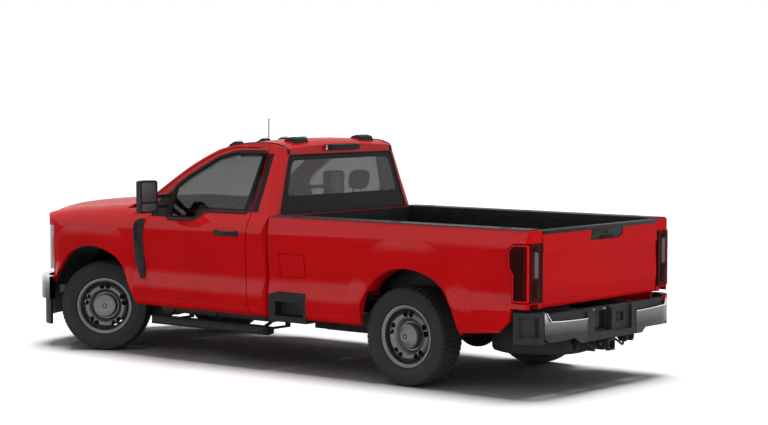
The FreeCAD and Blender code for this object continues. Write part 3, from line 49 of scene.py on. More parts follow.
# Places shared with the part, in metres
WHEELBASE = 3.597
FRONT_AXLE_X = 1.974
REAR_AXLE_X = FRONT_AXLE_X - WHEELBASE
WHEEL_Z = 0.4
FRONT_WHEEL_Y = 0.867
REAR_WHEEL_Y = 0.853
KINGPIN_Y = 0.76
STEER_ANGLE = math.radians(32.0)

# Camera of the photograph
CAMERA_PLACE = (-11.982, 13.976, 2.475)
CAMERA_YAW = math.radians(-50.48)
CAMERA_PITCH = math.radians(-3.74)
FOCAL_PIXELS = 2106.0
CENTRE_PIXEL_X = 369.1
PHOTO_WIDTH = 768
SENSOR_MM = 36.0


def connect(tree, value, entry):
    """Links a socket to a node's input, or gives the input a value."""
    if isinstance(value, bpy.types.NodeSocket):
        tree.links.new(value, entry)
    else:
        entry.default_value = value


def feed(tree, node, **inputs):
    for key, value in inputs.items():
        connect(tree, value, node.inputs[key.replace("_", " ")])


def add(tree, kind, **settings):
    """New node, its settings being properties, values of inputs or sockets to link."""
    node = tree.nodes.new(kind)
    for key, value in settings.items():
        if hasattr(node, key):
            setattr(node, key, value)
        else:
            feed(tree, node, **{key: value})
    return node


def maths(tree, operation, first, second):
    node = add(tree, "ShaderNodeMath", operation=operation)
    connect(tree, first, node.inputs[0])
    connect(tree, second, node.inputs[1])
    return node.outputs[0]


def where(tree, space="Object"):
    return add(tree, "ShaderNodeTexCoord").outputs[space]


def upward(tree, space="Object"):
    return add(tree, "ShaderNodeSeparateXYZ", Vector=where(tree, space)).outputs["Z"]


def noise(tree, scale, detail=4.0, roughness=0.55):
    return add(tree, "ShaderNodeTexNoise", Vector=where(tree), Scale=scale, Detail=detail,
               Roughness=roughness).outputs["Fac"]


def bump(tree, height, strength, distance):
    return add(tree, "ShaderNodeBump", Height=height, Strength=strength,
               Distance=distance).outputs["Normal"]


def ramp(tree, source, *stops):
    """Colour ramp; a stop is a place and a colour, or a place and a grey level."""
    node = add(tree, "ShaderNodeValToRGB", Fac=source)
    elements = node.color_ramp.elements
    while len(elements) < len(stops):
        elements.new(0.5)
    for element, (position, colour) in zip(elements, stops):
        element.position = position
        element.color = (*colour, 1.0) if isinstance(colour, tuple) else (colour, colour, colour, 1.0)
    return node.outputs["Color"]


def spread(tree, source, low, high):
    return add(tree, "ShaderNodeMapRange", Value=source, To_Min=low, To_Max=high).outputs["Result"]


def height_above_ground(tree, z0, z1):
    return add(tree, "ShaderNodeMapRange", Value=upward(tree), From_Min=z0, From_Max=z1).outputs["Result"]


def dusty(tree, clean, dust, z0, z1, amount):
    """Colour that turns from dust near the ground to the clean colour higher up."""
    fade = maths(tree, "SUBTRACT", 1.0, height_above_ground(tree, z0, z1))
    level = spread(tree, maths(tree, "MULTIPLY", noise(tree, 9.0, 6.0), fade), 0.0, amount)
    blend = add(tree, "ShaderNodeMix", data_type="RGBA")
    for index, value in ((0, level), (6, (*clean, 1.0)), (7, (*dust, 1.0))):
        connect(tree, value, blend.inputs[index])
    return blend.outputs[2]


def new_material(name):
    material = bpy.data.materials.new(name)
    material.use_nodes = True
    return material, material.node_tree


def principled(name):
    material, tree = new_material(name)
    return material, tree, tree.nodes["Principled BSDF"]


def paint(name, dark, colour):
    """Paint with a painted sheen: its clear coat is weighted by how far a face leans to the sky, so faces
    that lean up shine and upright faces stay dull.
    """
    material, tree, shader = principled(name)
    # Painted sheen: the coat's weight follows how far the surface normal points up.
    gloss = ramp(tree, upward(tree, "Normal"), (0.0, 0.03), (0.045, 0.1), (0.13, 0.85), (0.6, 0.55),
                 (0.95, 0.16))
    feed(tree, shader, Base_Color=ramp(tree, noise(tree, 2.2, 3.0), (0.35, dark), (0.65, colour)),
         Roughness=0.38, Specular_IOR_Level=0.02, Coat_Weight=gloss, Coat_IOR=1.4, Coat_Roughness=0.03,
         Normal=bump(tree, noise(tree, 420.0, 2.0), 0.03, 0.0004))
    return material


def plastic(name, colour, light, roughness, grain, depth, shine=0.12):
    material, tree, shader = principled(name)
    feed(tree, shader, Specular_IOR_Level=shine, Base_Color=ramp(tree, noise(tree, 14.0, 6.0),
                                                                 (0.3, colour), (0.75, light)),
         Roughness=spread(tree, noise(tree, 40.0), roughness - 0.07, roughness + 0.09),
         Normal=bump(tree, noise(tree, grain, 3.0, 0.7), 0.35, depth))
    return material


def metal(name, colour, light, roughness, metallic, grain=60.0, depth=0.0003):
    material, tree, shader = principled(name)
    feed(tree, shader, Metallic=metallic,
         Base_Color=ramp(tree, noise(tree, 11.0, 5.0), (0.3, colour), (0.7, light)),
         Roughness=spread(tree, noise(tree, grain), roughness * 0.75, roughness * 1.25),
         Normal=bump(tree, noise(tree, grain * 3, 3.0), 0.15, depth))
    return material


def chrome(name):
    """Bright trim with a painted reflection: its colour darkens toward the ground, as if it mirrored a dark
    floor.
    """
    material, tree, shader = principled(name)
    # Painted reflection: the base colour runs from near black low down to bright metal high up.
    level = maths(tree, "ADD", height_above_ground(tree, 0.36, 0.76), spread(tree, noise(tree, 5.0, 3.0),
                                                                             -0.05, 0.05))
    colour = ramp(tree, level, (0.05, (0.03, 0.031, 0.034)), (0.32, (0.04, 0.041, 0.044)),
                  (0.55, (0.14, 0.143, 0.148)), (0.66, (0.36, 0.365, 0.37)), (0.78, (0.8, 0.81, 0.82)))
    feed(tree, shader, Base_Color=colour, Metallic=1.0, Roughness=spread(tree, noise(tree, 60.0), 0.11,
                                                                         0.19),
         Normal=bump(tree, noise(tree, 180.0, 3.0), 0.1, 0.0002))
    return material


def dirty(name, clean, dust, heights, amount, patches, roughness, shine, grain, strength, depth):
    """Rubber or chassis paint with road dust on it, most of it low down."""
    material, tree, shader = principled(name)
    feed(tree, shader, Base_Color=dusty(tree, clean, dust, *heights, amount), Specular_IOR_Level=shine,
         Roughness=spread(tree, noise(tree, patches), *roughness), Normal=bump(tree, noise(tree, *grain),
                                                                               strength, depth))
    return material


def glass(name, colour):
    material, tree, shader = principled(name)
    feed(tree, shader, Roughness=0.02, IOR=1.45, Transmission_Weight=1.0,
         Base_Color=ramp(tree, noise(tree, 3.0), (0.3, colour), (0.7, tuple(c * 1.06 for c in colour))))
    return material


def lens(name, colour, light, transmission):
    material, tree, shader = principled(name)
    flutes = add(tree, "ShaderNodeTexWave", Vector=where(tree), Scale=38.0, wave_type="BANDS",
                 bands_direction="Y").outputs["Fac"]
    feed(tree, shader, Base_Color=ramp(tree, flutes, (0.2, colour), (0.8, light)), Roughness=0.12,
         Specular_IOR_Level=0.02, Coat_Weight=0.06, Coat_IOR=1.3, Transmission_Weight=transmission,
         Normal=bump(tree, flutes, 0.15, 0.001))
    return material


MATERIALS = {name: make(name, *look) for name, make, *look in (
    ("body_paint", paint, (0.42, 0.003, 0.004), (0.47, 0.0035, 0.005)),
    ("chassis_black", dirty, (0.016, 0.016, 0.017), (0.06, 0.052, 0.045), (0.2, 0.8), 0.9, 25.0,
     (0.45, 0.7), 0.12, (90.0,), 0.3, 0.0008),
    ("wheel_silver", metal, (0.12, 0.122, 0.125), (0.165, 0.168, 0.172), 0.34, 0.8),
    ("hub_cover", metal, (0.13, 0.132, 0.135), (0.17, 0.173, 0.177), 0.36, 0.85, 90.0),
    ("lamp_smoke", lens, (0.05, 0.05, 0.053), (0.16, 0.162, 0.168), 0.0),
    # Bright metal for the bead that paints the highlight line on the bumper's lip.
    ("chrome_bright", metal, (0.84, 0.85, 0.86), (0.9, 0.91, 0.92), 0.12, 1.0),
    # Trim metal with a painted reflection, darker toward the ground.
    ("chrome_trim", chrome),
    ("tyre_rubber", dirty, (0.017, 0.017, 0.017), (0.07, 0.065, 0.06), (0.0, 0.9), 0.7, 30.0, (0.62, 0.82),
     0.15, (320.0, 3.0), 0.25, 0.0005),
    ("black_plastic", plastic, (0.01, 0.01, 0.011), (0.02, 0.02, 0.021), 0.5, 700.0, 0.0003),
    ("grey_trim", plastic, (0.02, 0.02, 0.021), (0.032, 0.032, 0.034), 0.55, 600.0, 0.0003),
    ("seat_vinyl", plastic, (0.05, 0.05, 0.054), (0.075, 0.075, 0.078), 0.5, 300.0, 0.0005),
    ("window_glass", glass, (0.3, 0.305, 0.305)),
    ("lamp_red", lens, (0.03, 0.0008, 0.001), (0.075, 0.001, 0.0015), 0.0),
    ("lamp_front", lens, (0.3, 0.31, 0.32), (0.55, 0.56, 0.58), 0.5),
    ("bed_black", plastic, (0.01, 0.01, 0.011), (0.022, 0.022, 0.023), 0.42, 160.0, 0.0006),
    ("steel_dark", metal, (0.16, 0.14, 0.12), (0.26, 0.24, 0.22), 0.45, 0.9, 40.0, 0.001),
    ("engine_iron", metal, (0.1, 0.1, 0.1), (0.17, 0.165, 0.16), 0.6, 0.6, 40.0, 0.001),
    ("rubber_trim", plastic, (0.007, 0.007, 0.007), (0.013, 0.013, 0.013), 0.62, 500.0, 0.0002),
    ("black_gloss", plastic, (0.006, 0.006, 0.007), (0.01, 0.01, 0.011), 0.2, 900.0, 0.0001),
    ("mirror_glass", metal, (0.2, 0.205, 0.21), (0.24, 0.245, 0.25), 0.3, 0.75, 30.0, 0.0001),
    ("deep_black", plastic, (0.003, 0.003, 0.003), (0.006, 0.006, 0.006), 0.7, 300.0, 0.0002),
    ("deep_red", lens, (0.012, 0.0005, 0.0005), (0.028, 0.0008, 0.0008), 0.0),
    ("bright_red", lens, (0.5, 0.004, 0.006), (0.62, 0.008, 0.01), 0.0),
    ("lamp_clear", lens, (0.62, 0.63, 0.64), (0.8, 0.81, 0.82), 0.3),
    ("lamp_amber", lens, (0.5, 0.12, 0.004), (0.62, 0.17, 0.006), 0.2),
    ("belt_webbing", plastic, (0.012, 0.012, 0.013), (0.022, 0.022, 0.023), 0.75, 900.0, 0.0004),
    ("leather_black", plastic, (0.012, 0.012, 0.013), (0.02, 0.02, 0.021), 0.42, 450.0, 0.0003),
    ("headliner", plastic, (0.22, 0.22, 0.21), (0.27, 0.27, 0.26), 0.8, 700.0, 0.0004),
)}


def dress_nodes():
    for entry in frame["record"]["subparts"]:
        piece = nodes[entry["node"]]
        piece.data.materials.clear()
        piece.data.materials.append(MATERIALS[entry["material_slot"]])


def linked(name, data):
    made = bpy.data.objects.new(name, data)
    bpy.context.scene.collection.objects.link(made)
    return made


def make_camera():
    data = bpy.data.cameras.new("camera")
    data.sensor_width = SENSOR_MM
    data.lens = FOCAL_PIXELS / PHOTO_WIDTH * SENSOR_MM
    data.shift_x = (PHOTO_WIDTH / 2 - CENTRE_PIXEL_X) / PHOTO_WIDTH
    data.clip_end = 200.0
    camera = linked("camera", data)
    direction = Vector((math.cos(CAMERA_PITCH) * math.cos(CAMERA_YAW),
                        math.cos(CAMERA_PITCH) * math.sin(CAMERA_YAW), math.sin(CAMERA_PITCH)))
    camera.rotation_euler = direction.to_track_quat("-Z", "Y").to_euler()
    camera.location = CAMERA_PLACE
    bpy.context.scene.camera = camera


def seen_directly(tree):
    """One for rays from the camera, reflections and glass, zero for the light that spreads."""
    path = add(tree, "ShaderNodeLightPath").outputs
    first = maths(tree, "MAXIMUM", path["Is Camera Ray"], path["Is Glossy Ray"])
    return maths(tree, "MAXIMUM", first, path["Is Transmission Ray"])


def make_floor():
    mesh = bpy.data.meshes.new("floor")
    mesh.from_pydata([(x, y, 0) for x, y in box(-90.0, -90.0, 90.0, 90.0)], [], [(0, 1, 2, 3)])
    floor = linked("floor", mesh)
    material, tree = new_material("floor")
    tree.nodes.clear()
    diffuse = add(tree, "ShaderNodeBsdfDiffuse", Color=spread(tree, seen_directly(tree), 0.5, 1.05))
    add(tree, "ShaderNodeOutputMaterial", Surface=diffuse.outputs[0])
    mesh.materials.append(material)


def make_world():
    world = bpy.data.worlds.new("studio")
    bpy.context.scene.world = world
    world.use_nodes = True
    tree = world.node_tree
    tree.nodes.clear()
    rise = add(tree, "ShaderNodeMapRange", Value=upward(tree, "Generated"), From_Min=-0.1, From_Max=1.0)
    sky = ramp(tree, rise.outputs["Result"], (0.0, 0.3), (0.3, 0.4), (0.7, 0.75), (1.0, 0.9))
    light = add(tree, "ShaderNodeBackground", Color=sky, Strength=0.26)
    white = add(tree, "ShaderNodeBackground", Color=(1, 1, 1, 1), Strength=1.0)
    mix = add(tree, "ShaderNodeMixShader")
    for entry, value in zip(mix.inputs, (seen_directly(tree), light.outputs[0], white.outputs[0])):
        connect(tree, value, entry)
    add(tree, "ShaderNodeOutputWorld", Surface=mix.outputs[0])


def aim(lamp, direction):
    lamp.rotation_euler = direction.to_track_quat("-Z", "Y").to_euler()


def make_lamp(name, place, size, watts):
    """Soft lamp that lights the truck and leaves the floor to the overhead light."""
    data = bpy.data.lights.new(name, "AREA")
    data.shape = "RECTANGLE"
    data.size, data.size_y = size
    data.energy = watts
    lamp = linked(name, data)
    lamp.location = place
    aim(lamp, Vector((0, 0, 0.8)) - Vector(place))
    skipped = bpy.data.collections.new(name + "_skips")
    skipped.objects.link(bpy.data.objects["floor"])
    skipped.collection_objects[0].light_linking.link_state = "EXCLUDE"
    lamp.light_linking.receiver_collection = skipped
    lamp.visible_glossy = False


def make_lights():
    data = bpy.data.lights.new("overhead", "SUN")
    data.energy = 3.1
    data.angle = math.radians(34.0)
    aim(linked("overhead", data), Vector((-0.1, 0.16, -1.0)))
    make_lamp("left_side", (-2.0, 12.0, 2.2), (10.0, 2.0), 620.0)
    make_lamp("rear", (-11.0, 1.0, 2.2), (5.0, 2.0), 420.0)
    make_lamp("front", (10.0, -3.0, 2.5), (5.0, 3.0), 200.0)
    make_lamp("right_side", (1.0, -12.0, 2.5), (8.0, 2.0), 250.0)


# Outlines and points, from numbers in mm
def pairs(*mm, side=1):
    """Points (u, v) in metres; u changes its sign with the side."""
    return [(side * u / 1000, v / 1000) for u, v in zip(mm[::2], mm[1::2])]


def triples(*mm, side=1):
    """Points (x, y, z) in metres; y changes its sign with the side."""
    return [(x / 1000, side * y / 1000, z / 1000) for x, y, z in zip(mm[::3], mm[1::3], mm[2::3])]


def box(u0, v0, u1, v1, side=1):
    """Corners of a rectangle, in the unit they are given in."""
    return [(side * u0, v0), (side * u1, v0), (side * u1, v1), (side * u0, v1)]


# Mesh helpers. Each adds a closed form to a bmesh.
def prism(bm, outline, axis, start, end):
    """Polygon of (u, v) points pushed along an axis: x takes (y, z), y takes (x, z), z takes (x, y)."""
    def place(u, v, w):
        return {"x": (w, u, v), "y": (u, w, v), "z": (u, v, w)}[axis]
    low = [bm.verts.new(place(u, v, start)) for u, v in outline]
    high = [bm.verts.new(place(u, v, end)) for u, v in outline]
    return bridge(bm, low, high)


def bridge(bm, low, high):
    """Side faces between two rings of vertices, and their end faces."""
    count = len(low)
    faces = [bm.faces.new(low), bm.faces.new(high[::-1])]
    for i in range(count):
        j = (i + 1) % count
        faces.append(bm.faces.new((low[j], low[i], high[i], high[j])))
    bmesh.ops.recalc_face_normals(bm, faces=faces)
    return low + high


def sleeve(bm, sections, closed=True):
    """Faces along a row of four-point sections, back to the first one or with an end face at both ends."""
    rings = [[bm.verts.new(p) for p in section] for section in sections]
    faces = [] if closed else [bm.faces.new(rings[0]), bm.faces.new(rings[-1][::-1])]
    for i in range(len(rings) if closed else len(rings) - 1):
        a, b = rings[i], rings[(i + 1) % len(rings)]
        faces += [bm.faces.new((a[k], b[k], b[(k + 1) % 4], a[(k + 1) % 4])) for k in range(4)]
    bmesh.ops.recalc_face_normals(bm, faces=faces)


def frame_ring(bm, inner, outer, x0, x1):
    """Flat frame between two outlines of (y, z) points, from x0 to x1."""
    sleeve(bm, [((x0, *a), (x0, *b), (x1, *b), (x1, *a)) for a, b in zip(inner, outer)])


def put(bm, verts, place, axis=None):
    """Moves a form to its place, after a quarter turn about an axis where one is named."""
    if axis:
        bmesh.ops.rotate(bm, verts=verts, matrix=Matrix.Rotation(math.pi / 2, 3, axis))
    bmesh.ops.translate(bm, verts=verts, vec=place)


def slab(bm, corner, opposite):
    """Box between two opposite corners."""
    (x0, y0, z0), (x1, y1, z1) = corner, opposite
    return prism(bm, box(x0, y0, x1, y1), "z", z0, z1)


def lathe(bm, profile, segments=48, closed=True):
    """Turns (along Y, radius) points round the Y axis."""
    rings = []
    for i in range(segments):
        turn = 2 * math.pi * i / segments
        rings.append([bm.verts.new((r * math.sin(turn), s, r * math.cos(turn))) for s, r in profile])
    faces = []
    span = len(profile) if closed else len(profile) - 1
    for i in range(segments):
        a, b = rings[i], rings[(i + 1) % segments]
        for k in range(span):
            m = (k + 1) % len(profile)
            faces.append(bm.faces.new((a[k], a[m], b[m], b[k])))
    bmesh.ops.recalc_face_normals(bm, faces=faces)
    return [v for ring in rings for v in ring]


def loft(bm, rings):
    """Closed form through rings of points with equal counts."""
    loops = [[bm.verts.new(p) for p in ring] for ring in rings]
    faces = [bm.faces.new(loops[0][::-1]), bm.faces.new(loops[-1])]
    for a, b in zip(loops, loops[1:]):
        for k in range(len(a)):
            j = (k + 1) % len(a)
            faces.append(bm.faces.new((a[k], a[j], b[j], b[k])))
    bmesh.ops.recalc_face_normals(bm, faces=faces)
    return [v for loop in loops for v in loop]


def tube(bm, path, radius, sides=10):
    """Round bar along a path of points."""
    points = [Vector(p) for p in path]
    rings = []
    for i, p in enumerate(points):
        ahead = points[min(i + 1, len(points) - 1)] - points[max(i - 1, 0)]
        turn = ahead.to_track_quat("Z", "Y").to_matrix()
        rings.append([p + turn @ Vector((radius * math.cos(2 * math.pi * k / sides),
                                         radius * math.sin(2 * math.pi * k / sides), 0))
                      for k in range(sides)])
    return loft(bm, rings)


def smooth(points, parts):
    """Points of a smooth curve through a few points."""
    result = []
    for i in range(len(points) - 1):
        p0, p3 = Vector(points[max(i - 1, 0)]), Vector(points[min(i + 2, len(points) - 1)])
        p1, p2 = Vector(points[i]), Vector(points[i + 1])
        for k in range(parts):
            t = k / parts
            result.append(0.5 * (2 * p1 + (p2 - p0) * t + (2 * p0 - 5 * p1 + 4 * p2 - p3) * t ** 2
                                 + (3 * p1 - p0 - 3 * p2 + p3) * t ** 3))
    return result + [Vector(points[-1])]


def superellipse(half_a, half_b, power=4.0, count=20):
    """Points of a rounded rectangle about the origin."""
    points = []
    for i in range(count):
        c, s = math.cos(2 * math.pi * i / count), math.sin(2 * math.pi * i / count)
        reach = (abs(c) ** power + abs(s) ** power) ** (-1 / power)
        points.append((half_a * c * reach, half_b * s * reach))
    return points


def rounded(outline, radius, steps=4):
    """Closed outline with its corners rounded."""
    result = []
    for i, corner in enumerate(outline):
        p = Vector(corner)
        before, after = Vector(outline[i - 1]) - p, Vector(outline[(i + 1) % len(outline)]) - p
        reach = min(radius, before.length * 0.45, after.length * 0.45)
        a, b = p + before.normalized() * reach, p + after.normalized() * reach
        for k in range(steps + 1):
            t = k / steps
            result.append(tuple(a * (1 - t) ** 2 + p * (2 * t * (1 - t)) + b * t ** 2))
    return result


def refined(outline, step):
    """Outline with points added so that no edge is longer than a step."""
    result = []
    for i, a in enumerate(outline):
        a, b = Vector(a), Vector(outline[(i + 1) % len(outline)])
        parts = max(1, math.ceil((b - a).length / step))
        result += [tuple(a.lerp(b, k / parts)) for k in range(parts)]
    return result


def offset(outline, distance):
    """Closed outline moved outward by a distance, or inward by a negative one."""
    area = sum(a[0] * b[1] - b[0] * a[1] for a, b in zip(outline, outline[1:] + outline[:1]))
    turn = 1 if area > 0 else -1
    result = []
    for i, corner in enumerate(outline):
        p = Vector(corner)
        d0 = (p - Vector(outline[i - 1])).normalized()
        d1 = (Vector(outline[(i + 1) % len(outline)]) - p).normalized()
        n0, n1 = Vector((d0.y, -d0.x)), Vector((d1.y, -d1.x))
        result.append(tuple(p + (n0 + n1) * (turn * distance / max(0.4, 1 + n0.dot(n1)))))
    return result


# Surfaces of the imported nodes, to seat trim on
LOOKS = {"left": ((0, 3, 0), (0, -1, 0)), "right": ((0, -3, 0), (0, 1, 0)), "rear": ((-5, 0, 0), (1, 0, 0)),
         "front": ((5, 0, 0), (-1, 0, 0)), "top": ((0, 0, 3), (0, 0, -1))}


def skin(*names):
    """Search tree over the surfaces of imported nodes."""
    bm = bmesh.new()
    for name in names:
        mesh = nodes[name].data.copy()
        mesh.transform(nodes[name].matrix_world)
        bm.from_mesh(mesh)
        bpy.data.meshes.remove(mesh)
    tree = BVHTree.FromBMesh(bm)
    bm.free()
    return tree


def onto(tree, face, u, v, lift=0.0):
    """Point of a surface seen from one side of the truck, moved outward by a lift."""
    start, direction = (Vector(p) for p in LOOKS[face])
    if face in ("left", "right"):
        start += Vector((u, 0, v))
    elif face in ("rear", "front"):
        start += Vector((0, u, v))
    else:
        start += Vector((u, v, 0))
    place = tree.ray_cast(start, direction)[0]
    if place is None:
        place = tree.find_nearest(start + direction * 2.0)[0]
        place = Vector([p if d else s for p, s, d in zip(place, start, direction)])
    return place - direction * lift


def plate(bm, tree, face, outline, lift, thick):
    """Flat trim that follows a surface, its face raised by a lift."""
    high = [bm.verts.new(onto(tree, face, u, v, lift)) for u, v in outline]
    low = [bm.verts.new(onto(tree, face, u, v, lift - thick)) for u, v in outline]
    return bridge(bm, low, high)


def ribbon(bm, tree, face, inner, outer, lift, thick, closed=True):
    """Strip of trim on a surface between two lines with equal counts of points."""
    edges = [((a, lift - thick), (a, lift), (b, lift), (b, lift - thick)) for a, b in zip(inner, outer)]
    sleeve(bm, [[onto(tree, face, *p, height) for p, height in edge] for edge in edges], closed)


def piece(name, bm, material, body="chassis", bevel=0.0, smooth=35.0, matrix=None):
    """Finished piece that rides on a body, with the material of the given name."""
    mesh = bpy.data.meshes.new(name)
    bm.to_mesh(mesh)
    bm.free()
    made = linked(name, mesh)
    if matrix is not None:
        mesh.transform(matrix)
    mesh.materials.append(MATERIALS[material])
    if bevel:
        edge = made.modifiers.new("edges", "BEVEL")
        edge.width = bevel
        edge.segments = 2
        edge.limit_method = "ANGLE"
        edge.angle_limit = math.radians(30.0)
    mesh.shade_smooth()
    made.modifiers.new("shading", "EDGE_SPLIT").split_angle = math.radians(smooth)
    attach(made, body)
    return made


def single(name, material, shape, *form, body="chassis", **finish):
    """Piece of one form."""
    bm = bmesh.new()
    shape(bm, *form)
    return piece(name, bm, material, body, **finish)


# Lines of the door and its window on the body side, (x, z)
WINDOW_LINE = pairs(105, 1322, 540, 1320, 606, 1306, 694, 1246, 760, 1237, 1012, 1236, 1012, 1490, 880,
                    1588, 578, 1757, 420, 1800, 330, 1810, 48, 1812)
DOOR_EDGE_LOW = (0.061, 1.322)
DOOR_EDGE_HIGH = (0.03, 1.812)


def door_trim():
    line = refined(rounded(WINDOW_LINE, 0.03), 0.05)
    (x0, z0), (x1, z1) = DOOR_EDGE_LOW, DOOR_EDGE_HIGH
    post = refined([(x0 + 0.001, z0), (x0 + 0.03, z0), (x1 + 0.014, z1), (x1 + 0.001, z1)], 0.06)
    pillar = refined([(x0 - 0.074, z0), (x0 - 0.017, z0), (x1 - 0.013, z1), (x1 - 0.07, z1)], 0.06)
    z0, z1 = z0 + 0.012, z1 - 0.014
    band = refined([(x0 + 0.046, z0), (x0 + 0.096, z0), (x1 + 0.072, z1), (x1 + 0.022, z1)], 0.06)
    for face, side in SIDES:
        door = "door_" + face
        tree, pane = skin(door), skin("door_glass_" + face)
        bm = bmesh.new()
        ribbon(bm, tree, face, offset(line, 0.002), offset(line, 0.024), 0.0025, 0.004)
        plate(bm, tree, face, post, 0.0035, 0.005)
        piece("window_trim_" + face, bm, "black_plastic", door)
        single("window_band_" + face, "black_gloss", plate, pane, face, band, 0.002, 0.003, body=door)
        inner, outer = offset(line, -0.016), offset(line, 0.001)
        single("window_seal_" + face, "rubber_trim", ribbon, pane, face, inner, outer, 0.009, 0.008,
               body=door)
        door_handle(tree, face, side)
        door_lining(face, side)
        single("pillar_trim_" + face, "black_gloss", plate, skin("cab_shell"), face, pillar, 0.0035, 0.005)


HANDLE_X0, HANDLE_X1 = 0.16, 0.42
HANDLE_Z = 1.135
HANDLE_RINGS = 15


def door_handle(tree, face, side):
    """Bowed grip with a foot at each end."""
    rings = []
    for i in range(HANDLE_RINGS):
        t = i / (HANDLE_RINGS - 1)
        rise = min(1.0, 3.2 * min(t, 1 - t)) ** 0.6
        centre = onto(tree, face, HANDLE_X0 + (HANDLE_X1 - HANDLE_X0) * t, HANDLE_Z, 0.004 + 0.036 * rise)
        section = superellipse(0.021 - 0.004 * (1 - rise), 0.0095, 3.0, 16)
        rings.append([centre + Vector((0, side * b, a)) for a, b in section])
    bm = bmesh.new()
    loft(bm, rings)
    for x in (HANDLE_X0 + 0.012, HANDLE_X1 - 0.012):
        foot = [(x + a, HANDLE_Z + b) for a, b in superellipse(0.024, 0.027, 3.0)]
        plate(bm, tree, face, foot, 0.01, 0.012)
    piece("door_handle_" + face, bm, "black_plastic", "door_" + face, bevel=0.002)


LINING_Y = 0.905


def door_lining(face, side):
    """Moulded inside of a door with its armrest, pull cup and speaker."""
    bm = bmesh.new()
    outline = rounded(pairs(80, 560, 1180, 560, 1180, 1215, 760, 1228, 640, 1300, 85, 1300), 0.05)
    prism(bm, outline, "y", side * (LINING_Y + 0.004), side * (LINING_Y - 0.02))
    arm = pairs(180, 985, 240, 965, 760, 975, 900, 1020, 900, 1050, 720, 1035, 180, 1030)
    prism(bm, rounded(arm, 0.02), "y", side * (LINING_Y - 0.018), side * (LINING_Y - 0.075))
    pocket = pairs(200, 600, 820, 600, 800, 730, 220, 740)
    prism(bm, rounded(pocket, 0.03), "y", side * (LINING_Y - 0.018), side * (LINING_Y - 0.06))
    piece("door_lining_" + face, bm, "grey_trim", "door_" + face, bevel=0.006)
    bm = bmesh.new()
    ring = lathe(bm, pairs(0, 70, 6, 72, 8, 82, 0, 86), 36)
    dome = lathe(bm, pairs(0, 0, 2, 69, 4, 66, 7, 0), 36, False)
    bmesh.ops.scale(bm, vec=(1, -side, 1), verts=bm.verts)
    put(bm, ring + dome, (1.01, side * (LINING_Y - 0.02), 0.7))
    bmesh.ops.recalc_face_normals(bm, faces=bm.faces)
    piece("door_speaker_" + face, bm, "black_plastic", "door_" + face)


# Mirrors: two glasses with a bar between and a bezel round both
MIRROR_FACE_X = 0.975
MIRROR_Y0, MIRROR_Y1 = 1.145, 1.345
MIRROR_Z0, MIRROR_Z1 = 1.288, 1.568
MIRROR_SPLIT_Z = 1.378


def mirror_details():
    for face, side in SIDES:
        y0, y1 = MIRROR_Y0 + 0.014, MIRROR_Y1 - 0.014
        bm = bmesh.new()
        for z0, z1 in ((MIRROR_Z0 + 0.016, MIRROR_SPLIT_Z - 0.008),
                       (MIRROR_SPLIT_Z + 0.008, MIRROR_Z1 - 0.016)):
            glass = [(side * y, z) for y, z in rounded(box(y0, z0, y1, z1), 0.022)]
            prism(bm, glass, "x", MIRROR_FACE_X - 0.004, MIRROR_FACE_X + 0.001)
        piece("mirror_glass_" + face, bm, "mirror_glass", "door_" + face, bevel=0.001)
        bm = bmesh.new()
        shell = rounded(box(MIRROR_Y0 + 0.001, MIRROR_Z0 + 0.001, MIRROR_Y1 - 0.001, MIRROR_Z1 - 0.001),
                        0.03)
        inside = [(side * y, z) for y, z in offset(shell, -0.012)]
        frame_ring(bm, inside, [(side * y, z) for y, z in shell], MIRROR_FACE_X - 0.01,
                   MIRROR_FACE_X + 0.002)
        bar = box(y0, MIRROR_SPLIT_Z - 0.007, y1, MIRROR_SPLIT_Z + 0.007, side)
        prism(bm, bar, "x", MIRROR_FACE_X - 0.009, MIRROR_FACE_X + 0.001)
        piece("mirror_bezel_" + face, bm, "black_plastic", "door_" + face, bevel=0.002)


# Back of the cab
REAR_GLASS = pairs(-834, 1306, 834, 1306, 676, 1792, -676, 1792)
REAR_CLEAR = pairs(-735, 1452, 735, 1452, 640, 1752, -640, 1752)
REAR_CENTRE = (0.0, 1.6)
RAYS = 160
BRAKE_LAMP_Z = 1.852


def by_angle(outline, count, centre):
    """Points where rays from the centre meet a closed outline."""
    result = []
    c = Vector(centre)
    for k in range(count):
        turn = 2 * math.pi * k / count
        d = Vector((math.cos(turn), math.sin(turn)))
        for i, a in enumerate(outline):
            a, b = Vector(a) - c, Vector(outline[(i + 1) % len(outline)]) - c
            e = b - a
            cross = d.x * e.y - d.y * e.x
            if abs(cross) < 1e-12:
                continue
            t = (a.x * e.y - a.y * e.x) / cross
            s = (a.x * d.y - a.y * d.x) / cross
            if t > 0 and -1e-9 <= s <= 1 + 1e-9:
                result.append(tuple(c + d * t))
                break
    return result


def rear_window_trim():
    tree = skin("rear_window")
    clear = by_angle(rounded(REAR_CLEAR, 0.045), RAYS, REAR_CENTRE)
    outer = by_angle(rounded(offset(REAR_GLASS, -0.004), 0.035), RAYS, REAR_CENTRE)
    single("rear_window_border", "black_gloss", ribbon, tree, "rear", clear, outer, 0.0012, 0.0015)
    line = refined(rounded(offset(REAR_GLASS, 0.001), 0.03), 0.05)
    single("rear_window_seal", "rubber_trim", ribbon, skin("cab_shell", "rear_window"), "rear",
           offset(line, -0.01), offset(line, 0.009), 0.003, 0.006)


